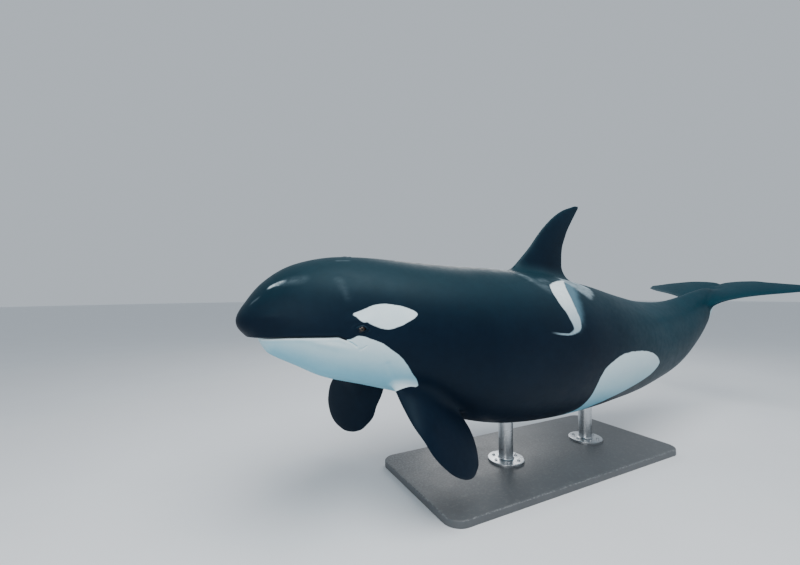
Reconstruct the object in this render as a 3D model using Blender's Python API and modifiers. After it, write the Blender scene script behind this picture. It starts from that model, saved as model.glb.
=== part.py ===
"""A life-size orca, still, held level on a plain display stand.

Metres, +Z up. The origin is the centre of the base plate's underside, on the floor. The head points to -X,
the tail to +X, and the animal's left side faces -Y. The body is modelled first in its own frame, with its
origin at the tip of the snout, and then set over the base.
"""

import math

import bmesh
import bpy
import numpy as np
from mathutils import Vector

# Driving dimensions
BODY_LENGTH = 5.80
SNOUT_HEIGHT = 1.30
SNOUT_TO_BASE_CENTRE = 2.45
GAP = 0.0003
CUT_CLEARANCE = 1.4 * GAP
MERGE = 0.00001
SHARP_ANGLE = 40.0

# The spine, from the snout (0) to the notch of the flukes (1): its pitch in degrees, rising towards the tail
SPINE_PITCH = (
    (0.00, 8.4), (0.12, -7.9), (0.28, -10.2), (0.45, -4.4), (0.60, -4.3),
    (0.72, 5.1), (0.84, 20.6), (0.93, 29.2), (1.00, 29.2),
)

# The body's girth in shares of its length: place along the spine, height above the spine, depth below it,
# half width, and how square the upper and the lower half of the section are (2 is an ellipse)
GIRTH = (
    (0.00, 0.0000, 0.0000, 0.000, 2.00, 2.00),
    (0.01, 0.0185, 0.0175, 0.020, 2.00, 2.05),
    (0.03, 0.0403, 0.0372, 0.035, 2.00, 2.15),
    (0.06, 0.0595, 0.0521, 0.051, 2.00, 2.25),
    (0.10, 0.0726, 0.0661, 0.066, 2.05, 2.25),
    (0.15, 0.0794, 0.0726, 0.079, 2.10, 2.25),
    (0.20, 0.0838, 0.0800, 0.088, 2.15, 2.25),
    (0.25, 0.0901, 0.0945, 0.094, 2.15, 2.25),
    (0.30, 0.0974, 0.1090, 0.098, 2.20, 2.25),
    (0.35, 0.1025, 0.1125, 0.099, 2.20, 2.25),
    (0.42, 0.1045, 0.1098, 0.098, 2.20, 2.25),
    (0.50, 0.0976, 0.1030, 0.091, 2.15, 2.20),
    (0.60, 0.0848, 0.0905, 0.074, 2.05, 2.10),
    (0.70, 0.0740, 0.0750, 0.054, 1.95, 1.95),
    (0.80, 0.0608, 0.0617, 0.036, 1.85, 1.85),
    (0.88, 0.0472, 0.0472, 0.023, 1.80, 1.80),
    (0.92, 0.0360, 0.0345, 0.018, 1.80, 1.80),
    (0.95, 0.0245, 0.0225, 0.014, 1.80, 1.80),
    (0.97, 0.0125, 0.0115, 0.011, 1.85, 1.85),
    (0.985, 0.0030, 0.0028, 0.0085, 1.90, 1.90),
    (1.00, 0.0012, 0.0012, 0.004, 1.90, 1.90),
)

# Where the body is parted, as places along the spine
HEAD_END = 0.145
CHEST_END = 0.315
MIDBODY_END = 0.560
STOCK_END = 0.985
BODY_SPACING = 0.018
HEAD_SPACING = 0.0085
SNOUT_PLACES = (0.0004, 0.0018, 0.0042, 0.0076, 0.0120)
BODY_COLUMNS = 36

# Mouth: a level line below the snout, back to its corner under the eye
MOUTH_DROP = 0.080
MOUTH_CORNER_X = 0.585
MOUTH_CORNER_DIP = 0.018
MOUTH_CORNER_LENGTH = 0.060
JAW_REAR_X = 0.76
CHEEK_ANGLE = -13.0
CHEEK_LENGTH = 0.25
MOUTH_SHARES = (0.02, 0.94)
LIP_GROOVE_DEPTH = 0.010
LIP_GROOVE_SPREAD = 0.016
LIP_FADE = 0.05
JAW_RECESS = 0.105
JAW_RECESS_REACH = 0.20
JAW_INSET = 0.05
JAW_INSET_REACH = 0.38
JAW_EASE = 1.5
JAW_ZONE_FRONT = -0.30
JAW_ZONE_BOTTOM = -0.70
JAW_ZONE_HALF_WIDTH = 0.80

# Eye, lids and blowhole
EYE_PLACE = 0.1155
EYE_ANGLE = -3.0
EYE_RADIUS = 0.030
EYE_SUNK = 0.021
EYE_SEGMENTS = 18
EYE_RINGS = 12
LID_LENGTH = 0.060
LID_HEIGHT = 0.042
LID_RADIUS = 0.0075
LID_ALMOND = 1.35
LID_POINTS = 24
BLOWHOLE_PLACE = 0.112
BLOWHOLE_WIDTH = 0.105
BLOWHOLE_SAG = 0.030
BLOWHOLE_SLIT = 0.007
BLOWHOLE_DEPTH = 0.016
BLOWHOLE_RINGS = 11
BLOWHOLE_END_SHARE = 0.25

# All fins. A row of an outline holds the distance from the root, the leading edge and the trailing edge.
# A taper is the tip's thickness as a share of the root's, and how fast it falls.
LEAD = 1
TRAIL = 2
FIN_HALF_COLUMNS = 9
FIN_ROUNDNESS = 2.35
FIN_REAR_TAPER = 0.9
FIN_EDGE_SHARE = 0.06
TIP_PLACE = 0.9985
TIP_CROWDING = 1.9
TIP_START = 0.97
TIP_DRAWN_IN = 0.7

# Dorsal fin, in metres, its edges measured behind the fin's foot
DORSAL_FOOT = (2.235, 0.300)
DORSAL_OUTLINE = (
    (0.00, -0.110, 0.640), (0.12, 0.022, 0.592), (0.27, 0.183, 0.602), (0.42, 0.318, 0.660),
    (0.54, 0.452, 0.735), (0.64, 0.612, 0.805), (0.685, 0.740, 0.835), (0.70, 0.805, 0.835),
)
DORSAL_THICKNESS = 0.085
DORSAL_TAPER = (0.16, 0.9)
DORSAL_SINK = 0.10
DORSAL_FLARE = 0.3
DORSAL_RINGS = 15

# Flippers, their outline in shares of their length, its edges measured to either side of the axis
FLIPPER_LENGTH = 0.744
FLIPPER_SINK = 0.11
FLIPPER_OUTLINE = (
    (0.00, -0.150, 0.196), (0.15, -0.212, 0.238), (0.35, -0.284, 0.297), (0.55, -0.308, 0.321),
    (0.75, -0.268, 0.297), (0.90, -0.180, 0.220), (0.97, -0.100, 0.143), (1.00, 0.002, 0.059),
)
FLIPPER_THICKNESS = 0.080
FLIPPER_TAPER = (0.22, 0.8)
FLIPPER_RINGS = 17
FLIPPER_ROOT = (1.013, -0.347, -0.384)
SHOULDER_REACH = 0.45
SHOULDER_BEND = 0.42
SHOULDER_RISE = 0.35
SHOULDER_TWIST = 0.2
LEFT_FLIPPER_AIM = (0.524, -0.228, -0.820)
LEFT_FLIPPER_TWIST = -25.9
RIGHT_FLIPPER_AIM = (-0.172, 0.552, -0.816)
RIGHT_FLIPPER_TWIST = -54.0

# Flukes, in metres from the midline, their edges measured behind the end of the spine
FLUKE_HALF_SPAN = 0.870
FLUKE_OUTLINE = (
    (0.00, -0.620, 0.075), (0.04, -0.600, 0.096), (0.09, -0.550, 0.106), (0.18, -0.400, 0.112),
    (0.33, -0.288, 0.114), (0.48, -0.205, 0.103), (0.64, -0.120, 0.100), (0.77, -0.034, 0.108),
    (0.84, 0.026, 0.121), (0.87, 0.062, 0.128),
)
FLUKE_THICKNESS = 0.075
FLUKE_TAPER = (0.14, 1.3)
FLUKE_RINGS = 19
FLUKE_ARCH = 0.027
FLUKE_DROOP = 0.060
FLUKE_ROLL = 1.3

# Stand
BASE_LENGTH = 2.50
BASE_WIDTH = 1.10
BASE_THICKNESS = 0.050
BASE_CORNER = 0.12
BASE_CORNER_SEGMENTS = 6
BASE_EDGE = 0.008
BASE_EDGE_SEGMENTS = 2
ROD_RADIUS = 0.060
ROD_TOP = 0.85
ROD_PLACES = (2.12, 3.12)
ROD_FOOT_RADIUS = 0.150
ROD_FOOT_THICKNESS = 0.020
ROD_FOOT_EDGE = 0.005
ROD_FILLET = 0.012
ROD_SIDES = 28

# Colours and finish: base colour, roughness, metallic
FINISHES = {
    "black_skin": ((0.012, 0.016, 0.022), 0.38, 0.0),
    "white_skin": ((0.80, 0.84, 0.84), 0.42, 0.0),
    "eye": ((0.020, 0.014, 0.010), 0.12, 0.0),
    "stand_paint": ((0.10, 0.11, 0.12), 0.45, 0.0),
    "stand_steel": ((0.52, 0.54, 0.56), 0.32, 1.0),
}


def smooth(at, knots, values):
    """A curve through the knots that never overshoots them (monotone cubic)."""
    knots = np.asarray(knots, float)
    values = np.asarray(values, float)
    step = np.diff(knots)
    slope = np.diff(values) / step
    tangent = np.zeros(len(knots))
    for i in range(1, len(knots) - 1):
        if slope[i - 1] * slope[i] > 0:
            first = 2 * step[i] + step[i - 1]
            second = step[i] + 2 * step[i - 1]
            tangent[i] = (first + second) / (first / slope[i - 1] + second / slope[i])
    tangent[0] = slope[0]
    tangent[-1] = slope[-1]
    at = np.clip(np.asarray(at, float), knots[0], knots[-1])
    i = np.clip(np.searchsorted(knots, at, side="right") - 1, 0, len(knots) - 2)
    s = (at - knots[i]) / step[i]
    return (
        (1 + 2 * s) * (1 - s) ** 2 * values[i]
        + s * (1 - s) ** 2 * step[i] * tangent[i]
        + s * s * (3 - 2 * s) * values[i + 1]
        + s * s * (s - 1) * step[i] * tangent[i + 1]
    )


def column(table, index):
    return np.array([row[index] for row in table], float)


# The spine, integrated from its pitch at even steps
SPINE_STEPS = 801
SPINE_T = np.linspace(0, 1, SPINE_STEPS)
SPINE_TILT = np.radians(smooth(SPINE_T, column(SPINE_PITCH, 0), column(SPINE_PITCH, 1)))
SPINE_STEP = BODY_LENGTH * SPINE_T[1]


def running_sum(values):
    return np.concatenate([[0], np.cumsum((values[1:] + values[:-1]) / 2 * SPINE_STEP)])


SPINE_X = running_sum(np.cos(SPINE_TILT))
SPINE_Z = running_sum(np.sin(SPINE_TILT))


def girth(t, index):
    """One of the section's sizes at t. The square root of t keeps the snout blunt."""
    return smooth(np.sqrt(t), np.sqrt(column(GIRTH, 0)), column(GIRTH, index))


def spine_at(t):
    """(x, z, tilt) of the spine at t."""
    return tuple(np.interp(t, SPINE_T, line) for line in (SPINE_X, SPINE_Z, SPINE_TILT))


def skin_point(t, angle):
    """A point of the body's surface in the snout's frame. Angle 0 is the left side, 90 degrees the back."""
    x, z, tilt = spine_at(t)
    across = np.cos(angle)
    up = np.sin(angle)
    squareness = np.where(up >= 0, girth(t, 4), girth(t, 5))
    side = np.sign(across) * np.abs(across) ** (2 / squareness)
    rise = np.sign(up) * np.abs(up) ** (2 / squareness)
    height = BODY_LENGTH * rise * np.where(up >= 0, girth(t, 1), girth(t, 2))
    return np.stack(
        [
            x - height * np.sin(tilt),
            -BODY_LENGTH * girth(t, 3) * side,
            z + height * np.cos(tilt),
        ],
        -1,
    )


def mouth_angle(t):
    """The section's angle at the level mouth line. Behind the mouth it turns to the cheek's."""
    x, z, tilt = spine_at(t)
    depth = BODY_LENGTH * max(girth(t, 2), 1e-4)
    share = np.clip((z + MOUTH_DROP) / np.cos(tilt) / depth, *MOUTH_SHARES)
    at_line = -np.arcsin(share ** (girth(t, 5) / 2))
    behind = np.clip((x - MOUTH_CORNER_X) / CHEEK_LENGTH, 0, 1)
    return float(at_line * (1 - behind) + math.radians(CHEEK_ANGLE) * behind)


def ring_angles(t):
    """Angles round one section, with a column kept on the mouth line at each side."""
    line = mouth_angle(t)
    half = BODY_COLUMNS // 2
    below = BODY_COLUMNS // 4 - 1
    bottom = np.linspace(-math.pi / 2, line, below + 1)
    top = np.linspace(line, math.pi / 2, half - below + 1)
    left = np.concatenate([bottom[:-1], top])
    right = math.pi - left[::-1]
    return np.concatenate([left[:-1], right[:-1]])


def new_object(name, mesh, finish, collection):
    item = bpy.data.objects.new(name, mesh)
    collection.objects.link(item)
    if finish:
        mesh.materials.append(bpy.data.materials[finish])
    return item


def mesh_of(name, points, faces):
    """A mesh from points and faces, with its faces turned outwards."""
    mesh = bpy.data.meshes.new(name)
    mesh.from_pydata([tuple(map(float, p)) for p in points], [], faces)
    work = bmesh.new()
    work.from_mesh(mesh)
    bmesh.ops.remove_doubles(work, verts=work.verts, dist=MERGE)
    bmesh.ops.recalc_face_normals(work, faces=work.faces)
    if work.calc_volume(signed=True) < 0:
        bmesh.ops.reverse_faces(work, faces=work.faces)
    work.to_mesh(mesh)
    work.free()
    return mesh


def loft(rings):
    """Points and triangles of a closed tube through equal rings, its ends fanned to their middles.

    The first half of a ring is split along one diagonal and the second half along the other, so the two
    faces of a fin, or the two sides of the body, are split alike.
    """
    count = len(rings[0])
    points = [p for ring in rings for p in ring]
    faces = []
    for i in range(len(rings) - 1):
        for j in range(count):
            k = (j + 1) % count
            near, ahead = i * count + j, i * count + k
            over, across = near + count, ahead + count
            if j < count // 2:
                faces += [(near, ahead, across), (near, across, over)]
            else:
                faces += [(near, ahead, over), (ahead, across, over)]
    for first in (0, (len(rings) - 1) * count):
        centre = len(points)
        points.append(np.mean(rings[first // count], axis=0))
        faces += [(centre, first + j, first + (j + 1) % count) for j in range(count)]
    return points, faces


def sink_lips(points):
    """Draws the skin in along the mouth line, which leaves the groove between the lips."""
    from_line = np.abs(points[:, 2] + MOUTH_DROP)
    fade = np.clip((MOUTH_CORNER_X + LIP_FADE / 2 - points[:, 0]) / LIP_FADE, 0, 1)
    depth = LIP_GROOVE_DEPTH * np.clip(1 - from_line / LIP_GROOVE_SPREAD, 0, 1) * fade
    inward = np.array([MOUTH_CORNER_X, 0, 0]) - points
    inward[:, 2] = 0
    inward /= np.maximum(np.linalg.norm(inward, axis=1), 1e-6)[:, None]
    return points + inward * depth[:, None]


def jaw_shape(points):
    """The lower jaw's skin: well behind the upper lip in front, and a little inside it at the sides."""
    points = sink_lips(points)
    x = points[:, 0].copy()
    points[:, 0] += JAW_RECESS * np.clip(1 - x / JAW_RECESS_REACH, 0, 1) ** JAW_EASE
    points[:, 1] *= 1 - JAW_INSET * np.clip(1 - x / JAW_INSET_REACH, 0, 1) ** JAW_EASE
    return points


def body_rings(first, last, spacing, shape=None):
    """Rings round the body from one place on the spine to another. A first place of 0 is the snout."""
    if first == 0:
        steps = round((last - SNOUT_PLACES[-1]) / spacing)
        places = list(SNOUT_PLACES) + list(np.linspace(SNOUT_PLACES[-1], last, steps + 1)[1:])
    else:
        places = np.linspace(first, last, round((last - first) / spacing) + 1)
    rings = []
    for t in places:
        ring = skin_point(t, ring_angles(t))
        rings.append(shape(ring) if shape else ring)
    return rings


def body_length(name, first, last, spacing, shape=None):
    points, faces = loft(body_rings(first, last, spacing, shape))
    return mesh_of(name, points, faces)


def side_prism(name, outline, half_width):
    """A prism across the body, from an outline in the x and z of the snout's frame."""
    work = bmesh.new()
    side = work.faces.new([work.verts.new((x, -half_width, z)) for x, z in outline])
    pushed = bmesh.ops.extrude_face_region(work, geom=[side])
    far_side = [item for item in pushed["geom"] if isinstance(item, bmesh.types.BMVert)]
    bmesh.ops.translate(work, verts=far_side, vec=(0, 2 * half_width, 0))
    bmesh.ops.recalc_face_normals(work, faces=work.faces)
    mesh = bpy.data.meshes.new(name)
    work.to_mesh(mesh)
    work.free()
    return mesh


def cut(item, other, operation, collection):
    """Applies one Boolean of a cutter mesh to an object, then removes the cutter."""
    cutter = new_object(item.name + "_cutter", other, None, collection)
    modifier = item.modifiers.new("cut", "BOOLEAN")
    modifier.operation = operation
    modifier.object = cutter
    modifier.solver = "EXACT"
    bpy.context.view_layer.update()
    shaped = bpy.data.meshes.new_from_object(item.evaluated_get(bpy.context.evaluated_depsgraph_get()))
    item.modifiers.clear()
    item.data = shaped
    bpy.data.objects.remove(cutter)


def keep_largest(item):
    """Keeps the object's largest closed surface and drops loose scraps."""
    work = bmesh.new()
    work.from_mesh(item.data)
    bmesh.ops.remove_doubles(work, verts=work.verts, dist=MERGE / 10)
    bmesh.ops.dissolve_degenerate(work, edges=work.edges, dist=MERGE / 10)
    left = set(work.verts)
    shells = []
    while left:
        reached = {left.pop()}
        edge = list(reached)
        while edge:
            found = {e.other_vert(v) for v in edge for e in v.link_edges} & left
            left -= found
            reached |= found
            edge = list(found)
        shells.append(reached)
    largest = max(shells, key=len)
    scraps = [v for shell in shells if shell is not largest for v in shell]
    bmesh.ops.delete(work, geom=scraps, context="VERTS")
    bmesh.ops.triangulate(work, faces=work.faces)
    work.to_mesh(item.data)
    work.free()


def swollen(mesh, by):
    """A copy of a mesh with its surface moved outwards."""
    copy = mesh.copy()
    work = bmesh.new()
    work.from_mesh(copy)
    work.normal_update()
    moved = [(v, v.co + v.normal * by) for v in work.verts]
    for v, place in moved:
        v.co = place
    work.to_mesh(copy)
    work.free()
    return copy


def jaw_zone(name, margin):
    """The space of the lower jaw: under the mouth line and ahead of a line slanting down the throat."""
    outline = (
        (JAW_ZONE_FRONT, -MOUTH_DROP + margin),
        (MOUTH_CORNER_X - MOUTH_CORNER_LENGTH, -MOUTH_DROP + margin),
        (MOUTH_CORNER_X + margin, -MOUTH_DROP - MOUTH_CORNER_DIP + margin),
        (JAW_REAR_X + margin, JAW_ZONE_BOTTOM),
        (JAW_ZONE_FRONT, JAW_ZONE_BOTTOM),
    )
    return side_prism(name, outline, JAW_ZONE_HALF_WIDTH)


def ball(name, radius, centre):
    work = bmesh.new()
    bmesh.ops.create_uvsphere(work, u_segments=EYE_SEGMENTS, v_segments=EYE_RINGS, radius=radius)
    bmesh.ops.translate(work, verts=work.verts, vec=centre)
    bmesh.ops.triangulate(work, faces=work.faces)
    mesh = bpy.data.meshes.new(name)
    work.to_mesh(mesh)
    work.free()
    return mesh


def eye_centre(side):
    """Middle of the eyeball. Side is 1 for the left eye and -1 for the right."""
    surface = skin_point(EYE_PLACE, math.radians(EYE_ANGLE))
    return surface * np.array([1, side, 1]) + np.array([0, EYE_SUNK * side, 0])


def lid_mesh(name, side):
    """Both eyelids: a low ring round the eye, drawn to a point at the front and the rear."""
    curve = bpy.data.curves.new(name, "CURVE")
    curve.dimensions = "3D"
    curve.bevel_depth = LID_RADIUS
    curve.bevel_resolution = 2
    ring = curve.splines.new("POLY")
    ring.points.add(LID_POINTS - 1)
    ring.use_cyclic_u = True
    depth = BODY_LENGTH * girth(EYE_PLACE, 2)
    for i, point in enumerate(ring.points):
        turn = 2 * math.pi * i / LID_POINTS
        up = math.copysign(abs(math.sin(turn)) ** LID_ALMOND, math.sin(turn))
        t = EYE_PLACE + math.cos(turn) * LID_LENGTH / 2 / BODY_LENGTH
        place = skin_point(t, math.radians(EYE_ANGLE) + up * LID_HEIGHT / 2 / depth)
        point.co = (*(place * np.array([1, side, 1])), 1)
    guide = bpy.data.objects.new(name, curve)
    bpy.context.scene.collection.objects.link(guide)
    graph = bpy.context.evaluated_depsgraph_get()
    mesh = bpy.data.meshes.new_from_object(guide.evaluated_get(graph))
    bpy.data.objects.remove(guide)
    return mesh


def blowhole_mesh(name):
    """A crescent slit across the top of the head, its horns pointing forward."""
    top = skin_point(BLOWHOLE_PLACE, math.pi / 2)
    rings = []
    for s in np.linspace(-1, 1, BLOWHOLE_RINGS):
        bow = BLOWHOLE_SAG * (0.5 - s * s)
        middle = top + np.array([bow, s * BLOWHOLE_WIDTH / 2, 0])
        half = BLOWHOLE_SLIT * max(BLOWHOLE_END_SHARE, 1 - s * s)
        corners = ((-half, 1.0), (half, 1.0), (half / 2, -1.0), (-half / 2, -1.0))
        rings.append([middle + np.array([x, 0, up * BLOWHOLE_DEPTH]) for x, up in corners])
    return mesh_of(name, *loft(rings))


def fin_section(share):
    """Half thickness across a fin's chord as a share of its greatest, blunt in front and thin behind."""
    rounded = FIN_ROUNDNESS * np.sqrt(share) * (1 - share) ** FIN_REAR_TAPER
    return rounded + FIN_EDGE_SHARE * np.sin(math.pi * share)


def fin_mesh(name, places, lead, trail, thickness, across):
    """A fin through rings. Lead and trail give the edges' points, thickness the greatest, across its way."""
    share = (1 - np.cos(np.linspace(0, math.pi, FIN_HALF_COLUMNS + 1))) / 2
    rings = []
    for s in places:
        front = lead(s)
        chord = trail(s) - front
        out = across(s) * thickness(s) / 2
        upper = [front + chord * c + out * fin_section(c) for c in share]
        lower = [front + chord * c - out * fin_section(c) for c in share[1:-1]]
        rings.append(upper + lower[::-1])
    return mesh_of(name, *loft(rings))


def rounded_places(count, start=0.0):
    """Places along a fin from its root to its tip, closer together at the tip."""
    even = np.linspace(0, 1, count)
    return start + (TIP_PLACE - start) * (1 - (1 - even) ** TIP_CROWDING)


def edge_curve(outline, index, share):
    """A fin's edge. The square root of the distance to the tip keeps the tip round."""
    reach = column(outline, 0) / outline[-1][0]
    inward = np.sqrt(1 - np.clip(share, 0, 1))
    return float(smooth(inward, np.sqrt(1 - reach)[::-1], column(outline, index)[::-1]))


def tapered(thickness, taper):
    """A fin's greatest thickness along it, with its last rings drawn in to a round tip."""
    tip, fall = taper

    def at(s):
        share = tip + (1 - tip) * (1 - max(s, 0)) ** fall
        return thickness * share * (1 if s < TIP_START else TIP_DRAWN_IN)

    return at


def dorsal_mesh(name):
    height = DORSAL_OUTLINE[-1][0]

    def edge(index, flare):
        def at(s):
            behind = edge_curve(DORSAL_OUTLINE, index, s) + flare * min(s, 0)
            return np.array([DORSAL_FOOT[0] + behind, 0.0, DORSAL_FOOT[1] + s * height])

        return at

    def across(s):
        return np.array([0.0, 1.0, 0.0])

    places = rounded_places(DORSAL_RINGS, -DORSAL_SINK / height)
    thickness = tapered(DORSAL_THICKNESS, DORSAL_TAPER)
    return fin_mesh(name, places, edge(LEAD, DORSAL_FLARE), edge(TRAIL, -DORSAL_FLARE), thickness, across)


def flipper_mesh(name, aim, twist, side):
    """A flipper from its root in the chest. Aim is its axis, twist turns its chord about that axis."""
    root = np.array(FLIPPER_ROOT) * np.array([1, side, 1])
    axis = Vector(aim).normalized()
    back = Vector((1, 0, 0))
    level = (back - axis * back.dot(axis)).normalized()
    inward = np.array([0, side, SHOULDER_RISE])

    def chord(s):
        out = np.clip(s / SHOULDER_REACH, 0, 1)
        share = SHOULDER_TWIST + (1 - SHOULDER_TWIST) * out * out * (3 - 2 * out)
        turn = math.radians(twist) * side * share
        return np.array(level * math.cos(turn) + axis.cross(level) * math.sin(turn))

    def across(s):
        return np.cross(np.array(axis), chord(s))

    def edge(index):
        def at(s):
            bend = SHOULDER_BEND * max(0, SHOULDER_REACH - s) ** 2
            middle = root + np.array(axis) * FLIPPER_LENGTH * s + inward * bend
            return middle + chord(s) * FLIPPER_LENGTH * edge_curve(FLIPPER_OUTLINE, index, s)

        return at

    places = rounded_places(FLIPPER_RINGS, -FLIPPER_SINK / FLIPPER_LENGTH)
    thickness = tapered(FLIPPER_THICKNESS, FLIPPER_TAPER)
    return fin_mesh(name, places, edge(LEAD), edge(TRAIL), thickness, across)


def fluke_mesh(name, side):
    """One half of the flukes, in the plane of the spine's last stretch. Side is 1 for the left."""
    x, z, tilt = spine_at(1.0)
    back = np.array([math.cos(tilt), 0, math.sin(tilt)])
    up = np.array([-math.sin(tilt), 0, math.cos(tilt)])
    end = np.array([x, 0, z])
    bank = math.sin(math.radians(FLUKE_ROLL))

    def edge(index):
        def at(s):
            away = side * s * FLUKE_HALF_SPAN
            rise = FLUKE_ARCH * 4 * s * (1 - s) - FLUKE_DROOP * s * s - away * bank
            behind = edge_curve(FLUKE_OUTLINE, index, s)
            return end + back * behind + up * rise + np.array([0, -away, 0])

        return at

    def across(s):
        return up

    places = rounded_places(FLUKE_RINGS)
    places[0] = GAP / 2 / FLUKE_HALF_SPAN
    return fin_mesh(name, places, edge(LEAD), edge(TRAIL), tapered(FLUKE_THICKNESS, FLUKE_TAPER), across)


def base_mesh(name):
    """A flat plate with round corners and an eased upper edge."""
    work = bmesh.new()
    bmesh.ops.create_cube(work, size=1)
    bmesh.ops.scale(work, verts=work.verts, vec=(BASE_LENGTH, BASE_WIDTH, BASE_THICKNESS))
    bmesh.ops.translate(work, verts=work.verts, vec=(0, 0, BASE_THICKNESS / 2))
    upright = [e for e in work.edges if abs(e.verts[0].co.z - e.verts[1].co.z) > BASE_THICKNESS / 2]
    rounding = {"profile": 0.5, "affect": "EDGES"}
    bmesh.ops.bevel(work, geom=upright, offset=BASE_CORNER, segments=BASE_CORNER_SEGMENTS, **rounding)
    rim = [e for e in work.edges if min(v.co.z for v in e.verts) > BASE_THICKNESS - MERGE]
    bmesh.ops.bevel(work, geom=rim, offset=BASE_EDGE, segments=BASE_EDGE_SEGMENTS, **rounding)
    bmesh.ops.triangulate(work, faces=work.faces)
    mesh = bpy.data.meshes.new(name)
    work.to_mesh(mesh)
    work.free()
    return mesh


def rod_object(name, x, collection):
    """A round rod on a turned foot, made too long: the body's underside then cuts its top."""
    foot = BASE_THICKNESS + GAP
    foot_top = foot + ROD_FOOT_THICKNESS
    profile = (
        (0, ROD_TOP),
        (ROD_RADIUS, ROD_TOP),
        (ROD_RADIUS, foot_top + ROD_FILLET),
        (ROD_RADIUS + ROD_FILLET, foot_top),
        (ROD_FOOT_RADIUS - ROD_FOOT_EDGE, foot_top),
        (ROD_FOOT_RADIUS, foot_top - ROD_FOOT_EDGE),
        (ROD_FOOT_RADIUS, foot),
        (0, foot),
    )
    mesh = bpy.data.meshes.new(name)
    edges = [(i, i + 1) for i in range(len(profile) - 1)]
    mesh.from_pydata([(radius, 0, height) for radius, height in profile], edges, [])
    rod = new_object(name, mesh, "stand_steel", collection)
    rod.location.x = x
    turned = rod.modifiers.new("turned", "SCREW")
    turned.steps = ROD_SIDES
    turned.render_steps = ROD_SIDES
    turned.use_merge_vertices = True
    turned.merge_threshold = MERGE
    return rod


def in_place(mesh):
    """Moves a mesh from the snout's frame to the base's frame."""
    for v in mesh.vertices:
        v.co += Vector((-SNOUT_TO_BASE_CENTRE, 0, SNOUT_HEIGHT))
    return mesh


def make_finishes():
    for name, (colour, roughness, metallic) in FINISHES.items():
        material = bpy.data.materials.new(name)
        material.use_nodes = True
        shader = material.node_tree.nodes["Principled BSDF"]
        shader.inputs["Base Color"].default_value = (*colour, 1.0)
        shader.inputs["Roughness"].default_value = roughness
        shader.inputs["Metallic"].default_value = metallic
        material.diffuse_color = (*colour, 1.0)


def build():
    for item in list(bpy.data.objects):
        bpy.data.objects.remove(item)
    orca = bpy.data.collections.new("orca")
    cutters = bpy.data.collections.new("cutters")
    for collection in (orca, cutters):
        bpy.context.scene.collection.children.link(collection)
    make_finishes()
    gap = GAP / 2 / BODY_LENGTH

    # The lengths of the body
    whole_head = body_length("head", 0, HEAD_END - gap, HEAD_SPACING, sink_lips)
    head = new_object("head", whole_head, "black_skin", orca)
    cut(head, jaw_zone("zone", GAP), "DIFFERENCE", cutters)
    whole_jaw = body_length("lower_jaw", 0, HEAD_END - gap, HEAD_SPACING, jaw_shape)
    jaw = new_object("lower_jaw", whole_jaw, "white_skin", orca)
    cut(jaw, jaw_zone("zone", 0.0), "INTERSECT", cutters)
    spans = (
        ("chest", HEAD_END, CHEST_END),
        ("midbody", CHEST_END, MIDBODY_END),
        ("tail_stock", MIDBODY_END, STOCK_END),
    )
    bodies = {}
    for name, first, last in spans:
        mesh = body_length(name, first + gap, last - gap, BODY_SPACING)
        bodies[name] = new_object(name, mesh, "black_skin", orca)

    # Lids, eyes and blowhole
    for side, name in ((1, "left"), (-1, "right")):
        cut(head, lid_mesh("lid", side), "UNION", cutters)
    for side, name in ((1, "left"), (-1, "right")):
        centre = eye_centre(side)
        cut(head, ball("socket", EYE_RADIUS + GAP, centre), "DIFFERENCE", cutters)
        new_object("eye_" + name, ball("eye_" + name, EYE_RADIUS, centre), "eye", orca)
    cut(head, blowhole_mesh("slit"), "DIFFERENCE", cutters)
    keep_largest(head)
    keep_largest(jaw)

    # Fins, each cut where it meets the body
    for side, name, aim, twist in (
        (1, "flipper_left", LEFT_FLIPPER_AIM, LEFT_FLIPPER_TWIST),
        (-1, "flipper_right", RIGHT_FLIPPER_AIM, RIGHT_FLIPPER_TWIST),
    ):
        flipper = new_object(name, flipper_mesh(name, aim, twist, side), "black_skin", orca)
        cut(flipper, swollen(bodies["chest"].data, CUT_CLEARANCE), "DIFFERENCE", cutters)
        keep_largest(flipper)
    dorsal = new_object("dorsal_fin", dorsal_mesh("dorsal_fin"), "black_skin", orca)
    cut(dorsal, swollen(bodies["midbody"].data, CUT_CLEARANCE), "DIFFERENCE", cutters)
    keep_largest(dorsal)
    for side, name in ((1, "fluke_left"), (-1, "fluke_right")):
        fluke = new_object(name, fluke_mesh(name, side), "black_skin", orca)
        cut(fluke, swollen(bodies["tail_stock"].data, CUT_CLEARANCE), "DIFFERENCE", cutters)
        keep_largest(fluke)

    for item in orca.objects:
        in_place(item.data)

    # Stand
    new_object("stand_base", base_mesh("stand_base"), "stand_paint", orca)
    for place, name in zip(ROD_PLACES, ("stand_rod_front", "stand_rod_rear")):
        rod = rod_object(name, place - SNOUT_TO_BASE_CENTRE, orca)
        cut(rod, swollen(bodies["midbody"].data, CUT_CLEARANCE), "DIFFERENCE", cutters)
        keep_largest(rod)

    for item in orca.objects:
        item.data.shade_smooth()
        item.data.set_sharp_from_angle(angle=math.radians(SHARP_ANGLE))


build()
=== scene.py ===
"""The looks of a life-size orca on its display stand: one skin with its markings, the eyes, and the stand."""

import math

import bmesh
import bpy
import numpy as np
from mathutils import Matrix, Vector
from mathutils.bvhtree import BVHTree


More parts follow.
